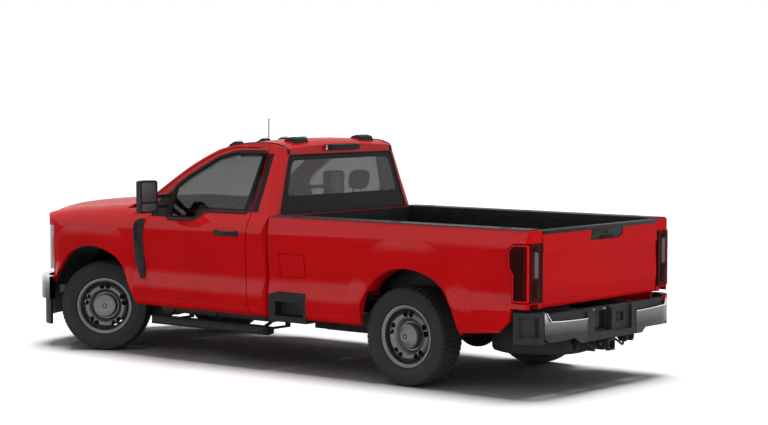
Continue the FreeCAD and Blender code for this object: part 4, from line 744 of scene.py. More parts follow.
def high_brake_lamp():
    """Flat black frame over the rear window with a red lens between two clear ones."""
    tree = skin("cab_shell", "roof_panel")
    z0, z1 = BRAKE_LAMP_Z - 0.03, BRAKE_LAMP_Z + 0.026
    frame_line = rounded([(-0.225, z0), (0.225, z0), (0.2, z1), (-0.2, z1)], 0.012)
    single("brake_lamp_frame", "black_plastic", plate, tree, "rear", frame_line, 0.006, 0.014, bevel=0.001)
    z0, z1 = z0 + 0.006, z1 - 0.006
    red = rounded([(-0.08, z0), (0.08, z0), (0.072, z1), (-0.072, z1)], 0.006)
    single("brake_lamp_lens", "bright_red", plate, tree, "rear", red, 0.014, 0.008, bevel=0.001)
    bm = bmesh.new()
    for side in (1, -1):
        clear = [(side * 0.092, z0), (side * 0.214, z0), (side * 0.192, z1), (side * 0.092, z1)]
        plate(bm, tree, "rear", rounded(clear, 0.006), 0.014, 0.008)
    piece("cargo_lamp_lens", bm, "lamp_clear", bevel=0.001)


def marker_lenses():
    """Clear lenses over the five marker lamps on the front of the roof."""
    tree = skin("roof_lamps", "roof_panel")
    bm = bmesh.new()
    for y in (-0.6, -0.25, 0.0, 0.25, 0.6):
        rings = []
        for x, half, high in triples(594, 22, 6, 575, 30, 10, 545, 34, 12, 510, 36, 12, 498, 34, 8):
            outline = ((-1.0, -0.004), (-0.92, high * 0.7), (-0.6, high), (0.6, high), (0.92, high * 0.7),
                       (1.0, -0.004))
            middle = onto(tree, "top", x, y)
            rings.append([middle + Vector((0, half * a, b)) for a, b in outline])
        loft(bm, rings)
    piece("marker_lenses", bm, "lamp_clear", bevel=0.001)


def roof_trim():
    """Black mouldings in the roof ditches, from the windscreen back and down to the rear window."""
    tree = skin("cab_shell", "roof_panel")
    section = superellipse(0.014, 0.007, 3.0, 12)
    for face, side in SIDES:
        rings = []
        for i in range(17):
            middle = onto(tree, "top", 0.56 - 0.04 * i, side * 0.69, 0.001)
            rings.append([middle + Vector((0, a, b)) for a, b in section])
        for z in (1.845, 1.825, 1.803):
            middle = onto(tree, "rear", side * (0.682 + (1.845 - z) * 0.05), z, 0.001)
            rings.append([middle + Vector((-b, a, 0)) for a, b in section])
        single("roof_moulding_" + face, "rubber_trim", loft, rings)


def antenna_sleeve():
    """Wound rod of the antenna, with a ball on its tip."""
    bm = bmesh.new()
    base, tip = Vector((1.5476, -0.915, 1.3)), Vector((1.5402, -0.915, 2.052))
    tube(bm, [base, base.lerp(tip, 0.06), tip], 0.0052, 12)
    turns = [base.lerp(tip, k / 60) + Vector((0.0056 * math.cos(1.4 * k), 0.0056 * math.sin(1.4 * k), 0))
             for k in range(61)]
    tube(bm, turns, 0.0014, 6)
    ball = bmesh.ops.create_icosphere(bm, subdivisions=2, radius=0.0075)["verts"]
    put(bm, ball, tip)
    piece("antenna_sleeve", bm, "deep_black")


# Wing vent behind the front wheel
VENT_LINE = pairs(1350, 1215, 1399, 1183, 1407, 1118, 1410, 856, 1332, 689, 1276, 683, 1278, 784, 1290, 890,
                  1288, 1124, 1276, 1218)
VENT_SLOTS = 7


def wing_vent():
    for face, side in SIDES:
        tree = skin("front_wings", "door_" + face)
        single("wing_vent_" + face, "black_plastic", plate, tree, face, rounded(VENT_LINE, 0.008), 0.008,
               0.012, bevel=0.002)
        bm = bmesh.new()
        for i in range(VENT_SLOTS):
            z = 0.9 + 0.04 * i
            plate(bm, tree, face, rounded([(1.362, z), (1.396, z + 0.004), (1.396, z + 0.032),
                                           (1.362, z + 0.028)], 0.004), 0.0085, 0.004)
        piece("wing_vent_slots_" + face, bm, "deep_black")
        fin = pairs(1340, 885, 1348, 885, 1350, 1180, 1342, 1180)
        single("wing_vent_fin_" + face, "grey_trim", plate, tree, face, refined(fin, 0.05), 0.0095, 0.006,
               bevel=0.002)


# Wheels and tyres. In the wheel's own space Y points outboard and the axle is at the origin.
TYRE_RADIUS = 0.4
TYRE_HALF_WIDTH = 0.132
TREAD_DEPTH = 0.01
TREAD_DROP = 0.017
TREAD_PITCHES = 58
# Rows of blocks: from and to along the axle, share of gaps, lean and phase
TREAD_ROWS = ((-0.12, -0.082, 0.24, 0.02, 0.0), (-0.072, -0.03, 0.18, 0.03, 0.4),
              (-0.022, 0.022, 0.16, 0.0, 0.1), (0.03, 0.072, 0.18, -0.03, 0.4),
              (0.082, 0.12, 0.24, -0.02, 0.0))
# Half of the tyre's outline as (along the axle, radius), from the bead to the middle of the tread
TYRE_PROFILE = pairs(91, 233.5, 95.2, 249.5, 100.5, 253, 107.5, 256, 115, 262, 119, 272, 124.5, 286, 128.5,
                     302, 130.5, 315, 131.8, 317, 131.8, 320, 130, 323, 128.5, 340, 126.2, 356, 124.8, 366,
                     123.5, 370, 119, 382, 106, 386.5, 0, 390)
STUD_CIRCLE = 0.085
STUD_COUNT = 8


def wheel_places():
    """Name and matrix of each wheel."""
    turned = math.sin(STEER_ANGLE), math.cos(STEER_ANGLE)
    scrub = FRONT_WHEEL_Y - KINGPIN_Y
    for side_name, side in SIDES:
        centre = (FRONT_AXLE_X - side * scrub * turned[0], side * (KINGPIN_Y + scrub * turned[1]), WHEEL_Z)
        half_turn = 0.0 if side > 0 else math.pi
        yield ("front_" + side_name, Matrix.Translation(centre) @ Matrix.Rotation(STEER_ANGLE + half_turn,
                                                                                  4, "Z"))
        centre = (REAR_AXLE_X, side * REAR_WHEEL_Y, WHEEL_Z)
        yield ("rear_" + side_name, Matrix.Translation(centre) @ Matrix.Rotation(half_turn, 4, "Z"))


def tread_row(bm, s0, s1, gap, lean, phase):
    """One ring of tread blocks between the widths s0 and s1."""
    for i in range(TREAD_PITCHES):
        start = 2 * math.pi * (i + phase) / TREAD_PITCHES
        width = 2 * math.pi / TREAD_PITCHES * (1 - gap)
        corners = []
        for radius, inset in ((TYRE_RADIUS - TREAD_DEPTH - 0.004, 0.0), (TYRE_RADIUS, 0.0016)):
            for s, turn in ((s0, start), (s1, start + lean), (s1, start + lean + width),
                            (s0, start + width)):
                side = s + (inset if s == s0 else -inset)
                squeeze = inset / TYRE_RADIUS * (1 if turn in (start, start + lean) else -1)
                reach = radius - TREAD_DROP * (abs(side) / TYRE_HALF_WIDTH) ** 4
                corners.append(bm.verts.new((reach * math.sin(turn + squeeze), side,
                                             reach * math.cos(turn + squeeze))))
        low, high = corners[:4], corners[4:]
        faces = [bm.faces.new(high)]
        for k in range(4):
            faces.append(bm.faces.new((low[k], low[(k + 1) % 4], high[(k + 1) % 4], high[k])))
        bmesh.ops.recalc_face_normals(bm, faces=faces)


def make_tyre(name, matrix):
    bm = bmesh.new()
    lathe(bm, TYRE_PROFILE + [(-s, r) for s, r in TYRE_PROFILE[-2::-1]], 96)
    for row in TREAD_ROWS:
        tread_row(bm, *row)
    for i in range(TREAD_PITCHES * 2):
        turn = 2 * math.pi * i / (TREAD_PITCHES * 2)
        for side in (1, -1):
            rib = slab(bm, (-0.0045, side * 0.1165, 0.364), (0.0045, side * 0.1262, 0.3835))
            bmesh.ops.rotate(bm, verts=rib, matrix=Matrix.Rotation(turn, 3, "Y"))
    tyre = piece("tread_" + name, bm, "tyre_rubber", "wheel_" + name, matrix=matrix, smooth=28.0)
    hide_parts("tyre_" + name)


def make_wheel_hardware(name, matrix):
    """Nuts, valve, hub cover with its ring, and a near-black drum behind the wheel's windows that stands
    for the brake drum and paints the shade inside the wheel.
    """
    bm = bmesh.new()
    for i in range(STUD_COUNT):
        turn = 2 * math.pi * (i + 0.5) / STUD_COUNT
        nut = lathe(bm, pairs(56, 0, 56, 11.5, 83, 10.5, 86, 8, 87, 0), 6, False)
        put(bm, nut, (STUD_CIRCLE * math.sin(turn), 0, STUD_CIRCLE * math.cos(turn)))
    wheel = {"body": "wheel_" + name, "matrix": matrix}
    piece("wheel_nuts_" + name, bm, "chrome_trim", smooth=25.0, **wheel)
    bm = bmesh.new()
    put(bm, lathe(bm, pairs(60, 0, 60, 5, 88, 4, 93, 4.5, 96, 0), 12, False), (0, 0, 0.222))
    piece("tyre_valve_" + name, bm, "black_plastic", **wheel)
    top = 0.1205 if name.startswith("rear") else 0.0845
    face = max(0.0978, top + 0.0005)
    cover = pairs(56.5, 106, 60, 106.5, 76, 102, 89, 97.5, 93.5, 90)
    cover += [(max(0.095, top - 0.012), 0.06), (max(0.0965, top - 0.004), 0.048), (max(0.0975, top), 0.036),
              (face, 0.0)]
    single("hub_cover_" + name, "hub_cover", lathe, cover, 56, False, **wheel)
    ring = [(face - 0.001, 0.022), (face + 0.001, 0.0215), (face + 0.0012, 0.014), (face - 0.001, 0.0135)]
    single("hub_ring_" + name, "black_gloss", lathe, ring, 40, **wheel)
    # Near-black ring behind the windows: the brake drum, painted as shade inside the wheel.
    backing = pairs(31, 136, 46, 140, 49, 188, 34, 190)
    single("wheel_drum_painted_shade_" + name, "deep_black", lathe, backing, 64, **wheel)


def make_wheels():
    for name, matrix in wheel_places():
        make_tyre(name, matrix)
        make_wheel_hardware(name, matrix)


def arch_flare(name, tree, face, points, axle_x, limits):
    """Smooth raised lip round a wheel arch; it blends into the body side and ends in a turned-in edge."""
    rings = []
    line = smooth([(axle_x + x, WHEEL_Z + z) for x, z in points], 8)
    for i, (x, z) in enumerate(line):
        out = Vector((x - axle_x, z - WHEEL_Z + 0.08)).normalized()
        fade = min(1.0, 6 * i / len(line) + 0.15, 6 * (len(line) - 1 - i) / len(line) + 0.15)
        ring = []
        width = 0.55 + 0.45 * max(0.0, out.y)
        if abs(out.x) > 0.01:
            room = (limits[1] - x) / out.x if out.x > 0 else (limits[0] - x) / out.x
            width = min(width, max(0.1, room / FLARE_SECTION[-1][0]))
        for away, lift in FLARE_SECTION:
            away *= width
            ring.append(onto(tree, face, x + out.x * away, z + out.y * away, lift * fade + 0.0006))
        inner = onto(tree, face, x + out.x * 0.004, z + out.y * 0.004, 0.0)
        side = 1 if face == "left" else -1
        ring.append(inner - Vector((0, side * 0.01, 0)))
        ring.append(onto(tree, face, x + out.x * away, z + out.y * away, -0.003))
        rings.append(ring)
    single(name, "body_paint", loft, rings, smooth=60.0)


FLARE_SECTION = pairs(2, 15.5, 10, 19.5, 24, 21.5, 50, 20.5, 90, 17.5, 140, 12.5, 190, 6.5, 225, 2, 245,
                      0.4, 250, 0)
FRONT_ARCH = pairs(452, 190, 396, 300, 268, 460, -7, 543, -320, 465, -486, 270, -560, 100)
REAR_ARCH = pairs(430, 60, 398, 270, 262, 455, 6, 543, -270, 490, -443, 341, -540, 110)


def arch_flares():
    for face, side in SIDES:
        arch_flare("arch_lip_front_" + face, skin("front_wings"), face, FRONT_ARCH, FRONT_AXLE_X,
                   (1.424, 2.44))
        arch_flare("arch_lip_rear_" + face, skin("bed_sides"), face, REAR_ARCH, REAR_AXLE_X, (-2.62, -0.7))


# Load bed
TAILGATE_HALF = 0.812
TAILGATE_FACE_X = -2.84
HANDLE_LINE = pairs(132, 1262, 164, 1183, -233, 1181, -297, 1208, -309, 1262)


def tailgate_trim():
    section = pairs(-2843.5, 1262, -2846.5, 1270, -2845.5, 1284, -2834, 1294.5, -2780, 1294.5, -2775,
                    1290.5, -2826, 1289.5, -2838.5, 1280, -2838.5, 1262)
    single("tailgate_cap", "black_plastic", prism, section, "y", -TAILGATE_HALF + 0.002,
           TAILGATE_HALF - 0.002, body="tailgate", bevel=0.002)
    single("tailgate_handle_plate", "black_plastic", prism, rounded(HANDLE_LINE, 0.012), "x", -2.8225,
           TAILGATE_FACE_X + 0.004, body="tailgate", bevel=0.003)
    grip = rounded(pairs(30, 1180, 20, 1205, -170, 1205, -180, 1180), 0.01)
    single("tailgate_grip", "deep_black", prism, grip, "x", -2.8435, -2.834, body="tailgate", bevel=0.002)
    bm = bmesh.new()
    lathe(bm, pairs(-8, 0, -8, 12, 2, 13, 5, 9, 3, 0), 24, False)
    put(bm, bm.verts, (TAILGATE_FACE_X + 0.002, -0.075, 1.232), "Z")
    piece("tailgate_camera", bm, "black_gloss", "tailgate")
    bm = bmesh.new()
    inner = -2.774
    for k in range(2):
        z0 = 0.77 + 0.235 * k
        panel = rounded(box(-0.72, z0, 0.72, z0 + 0.2), 0.02)
        prism(bm, panel, "x", inner - 0.001, inner + 0.005)
    piece("tailgate_inner_panels", bm, "bed_black", "tailgate", bevel=0.003)
    panel = rounded(box(-TAILGATE_HALF + 0.004, 0.704, TAILGATE_HALF - 0.004, 1.286), 0.012)
    single("tailgate_liner", "bed_black", prism, panel, "x", inner - 0.001, inner + 0.001, body="tailgate")


LAMP_LINE = pairs(-2836, 752, -2696, 752, -2698, 962, -2660, 1014, -2659, 1150, -2710, 1190, -2836, 1190)
LAMP_RIBS = 26


def tail_lamp_details():
    tree = skin("tail_lamps")
    for face, side in SIDES:
        bm = bmesh.new()
        for i in range(LAMP_RIBS):
            z = 0.775 + i * 0.0142
            plate(bm, tree, face, box(-2.8, z, -2.718 if z < 0.96 else -2.69, z + 0.006), 0.002, 0.003)
        piece("tail_lamp_ribs_" + face, bm, "deep_red")
        edge = refined(rounded(LAMP_LINE, 0.012), 0.03)
        single("tail_lamp_frame_" + face, "bright_red", ribbon, tree, face, offset(edge, -0.01), edge,
               0.004, 0.006, bevel=0.001)
        lens = rounded(pairs(886, 935, 930, 935, 930, 1135, 886, 1130, side=side), 0.012)
        single("reversing_lens_" + face, "lamp_smoke", plate, tree, "rear", lens, 0.004, 0.006,
               bevel=0.0015)
        bm = bmesh.new()
        plate(bm, tree, "rear", rounded(box(0.87, 0.775, 0.955, 0.92, side), 0.012), 0.003, 0.005)
        top = pairs(870, 1145, 955, 1145, 955, 1178, 870, 1172, side=side)
        plate(bm, tree, "rear", rounded(top, 0.008), 0.003, 0.005)
        piece("tail_lamp_inserts_" + face, bm, "deep_red", bevel=0.0015)
        strip = refined(box(0.826, 0.742, 0.844, 1.192, side), 0.06)
        single("tail_lamp_edge_" + face, "deep_black", plate, tree, "rear", strip, 0.0045, 0.006,
               bevel=0.001)


def bed_fittings():
    """Tie-down loops, floor bolts and the plugs of the rail pockets."""
    bm = bmesh.new()
    for x in (-2.6, -1.1, -0.33):
        for side in (1, -1):
            y = side * 0.838
            prism(bm, rounded(box(x - 0.03, 0.8, x + 0.03, 0.86), 0.01), "y", y, y - side * 0.006)
            half = [(-0.018, 0.004, 0.842), (-0.018, 0.03, 0.834), (-0.01, 0.04, 0.83)]
            loop = [(x + a, y - side * b, z) for a, b, z in half]
            loop += [(x - a, y - side * b, z) for a, b, z in half[::-1]]
            tube(bm, loop, 0.005, 8)
    piece("tie_down_loops", bm, "steel_dark", bevel=0.001)
    bm = bmesh.new()
    for x in (-0.32, -0.7, -1.08, -2.25, -2.6):
        for y in (-0.442, 0.442):
            put(bm, lathe(bm, pairs(0, 0, 0, 22, 3, 21, 5, 13, 4.5, 0), 18, False), (x, y, 0.7655), "X")
    piece("bed_bolts", bm, "steel_dark")
    bm = bmesh.new()
    for side in (1, -1):
        for x in (-0.42, -1.48, -2.56):
            plug = [(x + a, side * 0.905 + b) for a, b in superellipse(0.046, 0.021, 4.0)]
            prism(bm, plug, "z", 1.3045, 1.3085)
    piece("rail_plugs", bm, "rubber_trim", bevel=0.0012)


# Rear bumper
def bumper_details():
    bm = bmesh.new()
    for side in (1, -1):
        for k in range(9):
            y = side * (0.3 + 0.058 * k)
            slab(bm, (-2.915 + 0.01 * (k / 8) ** 2, y, 0.6545), (-2.862, y + side * 0.046, 0.6585))
    piece("bumper_pad_ribs", bm, "black_plastic", bevel=0.0015)
    single("plate_panel", "black_gloss", slab, (-2.884, 0.02, 0.48), (-2.8815, 0.23, 0.625), bevel=0.0008)
    bm = bmesh.new()
    for y in (0.045, 0.205):
        slab(bm, (-2.9, y - 0.02, 0.632), (-2.882, y + 0.02, 0.646))
    piece("plate_lamps", bm, "lamp_front", bevel=0.002)
    bm = bmesh.new()
    frame_line = rounded(box(-0.206, 0.518, -0.102, 0.606), 0.01)
    frame_ring(bm, offset(frame_line, -0.012), frame_line, -2.915, -2.911)
    ring = lathe(bm, pairs(-2, 0, -2, 30, 6, 30, 7, 27, 5, 0), 28, False)
    put(bm, ring, (-2.898, -0.154, 0.562), "Z")
    piece("trailer_socket", bm, "black_plastic", bevel=0.001)
    # Bright metal bead along the top lip of each bumper end, a painted highlight line on the lip.
    bm = bmesh.new()
    for side in (1, -1):
        edge = triples(-2945.5, 354, 588, -2944, 500, 589.5, -2939, 700, 595.5, -2930, 818, 602, -2922, 848,
                       640, -2914, 868, 672, side=side)
        tube(bm, edge, 0.0035, 8)
    piece("bumper_highlight_bead", bm, "chrome_bright")


def hitch_details():
    """Chain loops, tow brackets and the bosses of the receiver's pin."""
    loops, brackets, bosses = (bmesh.new() for _ in range(3))
    half = triples(-2800, 55, 392, -2850, 50, 385, -2895, 30, 352)
    hook = rounded(pairs(-2850, 520, -2700, 520, -2700, 420, -2790, 330, -2850, 330, -2862, 372, -2838,
                         430), 0.012)
    for side in (1, -1):
        y = side * 0.2
        loop = [(x, y - b, z) for x, b, z in half] + [(-2.908, y, 0.33)]
        loop += [(x, y + b, z) for x, b, z in half[::-1]]
        tube(loops, smooth(loop, 4), 0.0095, 10)
        for y in (0.345, 0.44):
            prism(brackets, hook, "y", side * y, side * (y + 0.014))
    for y in (-0.04, 0.04):
        put(bosses, lathe(bosses, pairs(-6, 0, -6, 10, 6, 10, 6, 0), 20, False), (-2.86, y, 0.35))
    piece("chain_loops", loops, "chassis_black")
    piece("tow_brackets", brackets, "chassis_black", bevel=0.002)
    piece("receiver_pin_bosses", bosses, "steel_dark", bevel=0.001)


# Running boards
BOARD_REAR_X, BOARD_FRONT_X = -0.13, 1.226
BOARD_RIBS = 44


def board_pads():
    """Rubber treads on the running boards, with a grey strip along the edge of each board."""
    strip = box(BOARD_REAR_X + 0.06, 0.318, BOARD_FRONT_X - 0.06, 0.33)
    for face, side in SIDES:
        bm = bmesh.new()
        for i in range(BOARD_RIBS):
            x = BOARD_REAR_X + 0.07 + i * (BOARD_FRONT_X - BOARD_REAR_X - 0.15) / (BOARD_RIBS - 1)
            for y0, y1 in ((0.9, 0.93), (0.937, 0.975)):
                z0 = 0.3605 + (y0 - 0.89) * 0.063
                slab(bm, (x, side * y0, z0 - 0.001), (x + 0.02, side * y1, z0 + 0.0055))
        piece("board_pads_" + face, bm, "rubber_trim", bevel=0.001)
        single("board_strip_" + face, "grey_trim", prism, strip, "y", side * 1.0055, side * 1.0085,
               bevel=0.001)


# Soft seats, each a crowned form swollen by a cloth run, with its sewn channels pressed in after
SOFT_PRESSURE = 4.0
SOFT_CAP = 0.01
SOFT_CELL = 0.009
SEAT_YS = {"left": (0.19, 0.69), "right": (-0.69, -0.19), "middle": (-0.185, 0.185)}


def cushion(bm, x0, x1, y0, y1, z0, z1, crown, power=5.0):
    """Closed pillow form inside a box, its large faces crowned and its edges rounded."""
    centre = Vector(((x0 + x1) / 2, (y0 + y1) / 2, (z0 + z1) / 2))
    half = Vector(((x1 - x0) / 2, (y1 - y0) / 2, (z1 - z0) / 2))
    before = set(bm.verts)
    corners = bmesh.ops.create_cube(bm, size=2.0)["verts"]
    edges = list({e for v in corners for e in v.link_edges})
    bmesh.ops.subdivide_edges(bm, edges=edges, cuts=14, use_grid_fill=True)
    for v in [v for v in bm.verts if v not in before]:
        p = v.co.copy()
        reach = sum(abs(c) ** power for c in p) ** (1 / power)
        top = max(abs(p.x), abs(p.y), abs(p.z))
        p = p * (top / reach)
        rise = crown * max(0.0, 1 - p.x ** 2) * max(0.0, 1 - p.y ** 2)
        lift = rise if p.z > 0 else 0.0
        v.co = Vector((centre.x + half.x * p.x, centre.y + half.y * p.y, centre.z + half.z * p.z + lift))


def swell(made):
    """Puffs a soft piece up with a short cloth run, and lets no point move further than the cap."""
    mesh = made.data
    remesh = made.modifiers.new("even", "REMESH")
    remesh.mode = "VOXEL"
    remesh.voxel_size = SOFT_CELL
    fresh = evaluated_mesh(made)
    made.modifiers.clear()
    made.data = fresh
    start = vectors(fresh.vertices, "co")
    cloth = made.modifiers.new("cloth", "CLOTH")
    cloth.settings.use_pressure = True
    cloth.settings.uniform_pressure_force = SOFT_PRESSURE
    cloth.settings.effector_weights.gravity = 0.0
    cloth.settings.quality = 4
    cloth.point_cache.frame_end = 16
    for step in range(1, 15):
        bpy.context.scene.frame_set(step)
    puffed = evaluated_mesh(made)
    made.modifiers.clear()
    move = vectors(puffed.vertices, "co") - start
    length = np.maximum(np.linalg.norm(move, axis=1, keepdims=True), 1e-9)
    move *= np.minimum(1.0, SOFT_CAP / length)
    fresh.vertices.foreach_set("co", (start + move).ravel())
    bpy.context.scene.frame_set(1)
    bpy.data.meshes.remove(puffed)
    bpy.data.meshes.remove(mesh)


def vectors(collection, name):
    """Array with a row of three numbers for each element."""
    values = np.empty(len(collection) * 3)
    collection.foreach_get(name, values)
    return values.reshape(-1, 3)


def evaluated_mesh(made):
    return bpy.data.meshes.new_from_object(made.evaluated_get(bpy.context.evaluated_depsgraph_get()))


def grooves(made, lines, depth, width):
    """Presses sewn channels into a soft piece. Each line is an axis and a place on it."""
    places = vectors(made.data.vertices, "co")
    normals = vectors(made.data.vertex_normals, "vector")
    press = np.zeros(len(places))
    for axis, place in lines:
        press = np.maximum(press, np.exp(-((places[:, axis] - place) / width) ** 2))
    places -= normals * (press * depth)[:, None]
    made.data.vertices.foreach_set("co", places.ravel())
    made.data.update()


def soft_piece(name, bm, matrix, lines):
    """Padded piece: swollen, grooved along its lines and then moved to its place."""
    made = piece(name, bm, "seat_vinyl", smooth=180.0)
    made.modifiers.clear()
    swell(made)
    grooves(made, lines, 0.006, 0.007)
    made.data.transform(matrix)
    made.data.materials.clear()
    made.data.materials.append(MATERIALS["seat_vinyl"])
    made.data.shade_smooth()
    made.modifiers.new("round", "SUBSURF").render_levels = 1
    return made


def make_seats():
    lean = Matrix.Translation((0.165, 0, 0.8)) @ Matrix.Rotation(math.radians(-10.0), 4, "Y")
    for name, (y0, y1) in SEAT_YS.items():
        place = Matrix.Translation((0, (y0 + y1) / 2, 0))
        half = (y1 - y0 - 0.012) / 2
        if name == "middle":
            seams, bolsters = [(1, 0.0)], []
        else:
            seams, bolsters = [(1, -0.11), (1, 0.11)], [half - 0.045, 0.045 - half]
        bm = bmesh.new()
        cushion(bm, 0.215, 0.652, -half + 0.008, half - 0.008, 0.7, 0.85, 0.01)
        for y in bolsters:
            cushion(bm, 0.225, 0.64, y - 0.038, y + 0.038, 0.73, 0.872, 0.004)
        seat = soft_piece("seat_cushion_" + name, bm, place, seams + [(0, 0.42)])
        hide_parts("seats")
        bm = bmesh.new()
        cushion(bm, -0.055, 0.05, -half + 0.008, half - 0.008, 0.01, 0.6, 0.0)
        for y in bolsters:
            cushion(bm, -0.04, 0.068, y - 0.038, y + 0.038, 0.03, 0.56, 0.0)
        soft_piece("seat_back_" + name, bm, place @ lean, seams + [(2, 0.34)])
        if bolsters:
            bm = bmesh.new()
            cushion(bm, -0.048, 0.04, -0.125, 0.125, 0.672, 0.842, 0.0, 3.4)
            soft_piece("headrest_" + name, bm, place @ lean, [(2, 0.715)])
    seat_frames(lean)


def seat_frames(lean):
    bm = bmesh.new()
    for side in (1, -1):
        for dy in (-0.055, 0.055):
            tube(bm, [lean @ Vector((0, side * 0.44 + dy, h)) for h in (0.56, 0.64, 0.72)], 0.006, 12)
    piece("headrest_stalks", bm, "steel_dark")
    bm = bmesh.new()
    for side in (1, -1):
        base = rounded(pairs(120, 552, 600, 552, 612, 640, 640, 705, 110, 690), 0.02)
        prism(bm, base, "y", side * 0.225, side * 0.655)
        recliner = rounded(pairs(90, 700, 230, 700, 260, 770, 215, 860, 110, 840), 0.03)
        prism(bm, recliner, "y", side * 0.692, side * 0.708)
    prism(bm, rounded(pairs(120, 682, 600, 682, 620, 712, 110, 706), 0.008), "y", -0.16, 0.16)
    piece("seat_bases", bm, "black_plastic", bevel=0.004)
    bm = bmesh.new()
    for side in (1, -1):
        belt = smooth(triples(30, 800, 1500, 70, 770, 1380, 110, 745, 1000, 120, 735, 700, side=side), 5)
        section = (-0.023, 0), (-0.023, side * 0.0016), (0.023, side * 0.0016), (0.023, 0)
        loft(bm, [[(x + a, y + b, z) for a, b in section] for x, y, z in belt])
    piece("seat_belts", bm, "belt_webbing")


# Cabin
def steering_wheel_cover():
    bm = bmesh.new()
    put(bm, lathe(bm, [(b, 0.184 + a) for a, b in superellipse(0.0165, 0.0165, 2.0, 12)], 64), (0, 0, 0),
        "Z")
    prism(bm, superellipse(0.085, 0.062, 3.0, 28), "x", -0.022, 0.03)
    for a, b in ((0.075, 0.178), (-0.178, -0.075)):
        prism(bm, [(a, -0.016), (b, -0.012), (b, 0.018), (a, 0.022)], "x", -0.01, 0.01)
    prism(bm, pairs(-20, -178, 20, -178, 28, -55, -28, -55), "x", -0.008, 0.01)
    face = Matrix.Translation((0.86, 0.4, 1.13)) @ Matrix.Rotation(math.radians(-22.8), 4, "Y")
    piece("steering_wheel_cover", bm, "leather_black", bevel=0.003, matrix=face)


def dashboard_details():
    hood = rounded(pairs(1040, 1160, 1020, 1220, 1060, 1262, 1180, 1262, 1200, 1224, 1090, 1222), 0.012)
    single("cluster_hood", "black_plastic", prism, hood, "y", 0.21, 0.59, bevel=0.004)
    screen = pairs(998, 1085, 992, 1225, 1010, 1228, 1016, 1085)
    single("centre_screen", "black_gloss", prism, screen, "y", -0.12, 0.12, bevel=0.003)
    bm = bmesh.new()
    for y0, y1 in ((-0.7, -0.56), (-0.3, -0.16), (0.15, 0.2), (0.61, 0.7)):
        for k in range(5):
            z = 1.09 + 0.018 * k
            slab(bm, (1.0 + 0.0009 * k, y0, z), (1.014, y1, z + 0.006))
    piece("dash_vents", bm, "black_plastic", bevel=0.001)
    bm = bmesh.new()
    prism(bm, rounded(box(-0.68, 0.985, -0.24, 1.06), 0.02), "x", 1.02, 1.046)
    prism(bm, rounded(box(-0.18, 0.97, 0.18, 1.06), 0.02), "x", 0.99, 1.05)
    for k in range(3):
        put(bm, lathe(bm, pairs(0, 0, 0, 16, 16, 14, 18, 0), 24, False), (0.991, -0.09 + 0.09 * k, 1.015),
            "Z")
    piece("dash_centre", bm, "black_plastic", bevel=0.003)


def cabin_details():
    steering_wheel_cover()
    dashboard_details()
    bm = bmesh.new()
    for y, w in ((0.3, 0.03), (0.43, 0.045)):
        prism(bm, rounded(box(y - w, 0.64, y + w, 0.7), 0.008), "x", 1.24, 1.256)
        tube(bm, [(1.256, y, 0.68), (1.33, y, 0.8), (1.36, y, 0.94)], 0.008, 8)
    piece("pedals", bm, "black_plastic", bevel=0.002)
    bm = bmesh.new()
    prism(bm, rounded(pairs(-120, 1665, 120, 1665, 114, 1725, -114, 1725), 0.02), "x", 0.64, 0.665)
    tube(bm, triples(665, 0, 1700, 700, 0, 1730, 738, 0, 1745), 0.008, 10)
    piece("rear_view_mirror", bm, "black_plastic", bevel=0.004)
    bm = bmesh.new()
    for side in (1, -1):
        visor = rounded([(x, side * y) for x, y in pairs(455, 150, 455, 520, 585, 520, 585, 150)], 0.03)
        bridge(bm, *([bm.verts.new((x, y, z - (x - 0.455) * 0.35)) for x, y in visor]
                     for z in (1.8, 1.816)))
    piece("sun_visors", bm, "grey_trim", bevel=0.003)
    single("headliner", "headliner", slab, (-0.06, -0.64, 1.78), (0.42, 0.64, 1.79), bevel=0.003)


# Front end
def cowl_and_wipers():
    bm = bmesh.new()
    for y0, y1 in ((-0.8, -0.41), (-0.4, -0.005), (0.005, 0.4), (0.41, 0.8)):
        slab(bm, (1.462, y0, 1.2485), (1.596, y1, 1.262))
        for k in range(7):
            slab(bm, (1.478 + 0.015 * k, y0 + 0.03, 1.2615), (1.484 + 0.015 * k, y1 - 0.03, 1.266))
    piece("cowl_grille", bm, "black_plastic", bevel=0.002)
    tree = skin("windscreen")
    bm = bmesh.new()
    for y0, y1 in ((0.62, 0.06), (-0.06, -0.64)):
        blade = []
        for i in range(9):
            y = y0 + (y1 - y0) * i / 8
            blade.append(onto(tree, "front", y, 1.315 + 0.03 * i / 8, 0.01))
        tube(bm, blade, 0.0055, 8)
        tube(bm, [(1.545, y0, 1.262), blade[0] + Vector((0.05, 0, 0.01)),
                  blade[4] + Vector((0.014, 0, 0.002))], 0.007, 8)
    piece("wipers", bm, "black_plastic")


def grille_details():
    """Bright bars, and upright black ribs behind them."""
    tree = skin("grille")
    ys = [-0.54 + 0.045 * i for i in range(25)]
    bm = bmesh.new()
    for z in (0.804, 0.93, 1.054):
        ribbon(bm, tree, "front", [(y, z - 0.012) for y in ys], [(y, z + 0.012) for y in ys], 0.006, 0.01,
               False)
    piece("grille_bars", bm, "chrome_trim", bevel=0.002)
    bm = bmesh.new()
    back = skin("grille", "nose_support")
    for z0, z1 in ((0.676, 0.786), (0.822, 0.912), (0.948, 1.038)):
        for k in range(27):
            y = -0.507 + 0.039 * k
            x = onto(back, "front", y, (z0 + z1) / 2, 0.012).x
            slab(bm, (x - 0.014, y - 0.004, z0 + 0.002), (x, y + 0.004, z1 - 0.002))
    piece("grille_mesh", bm, "black_plastic")


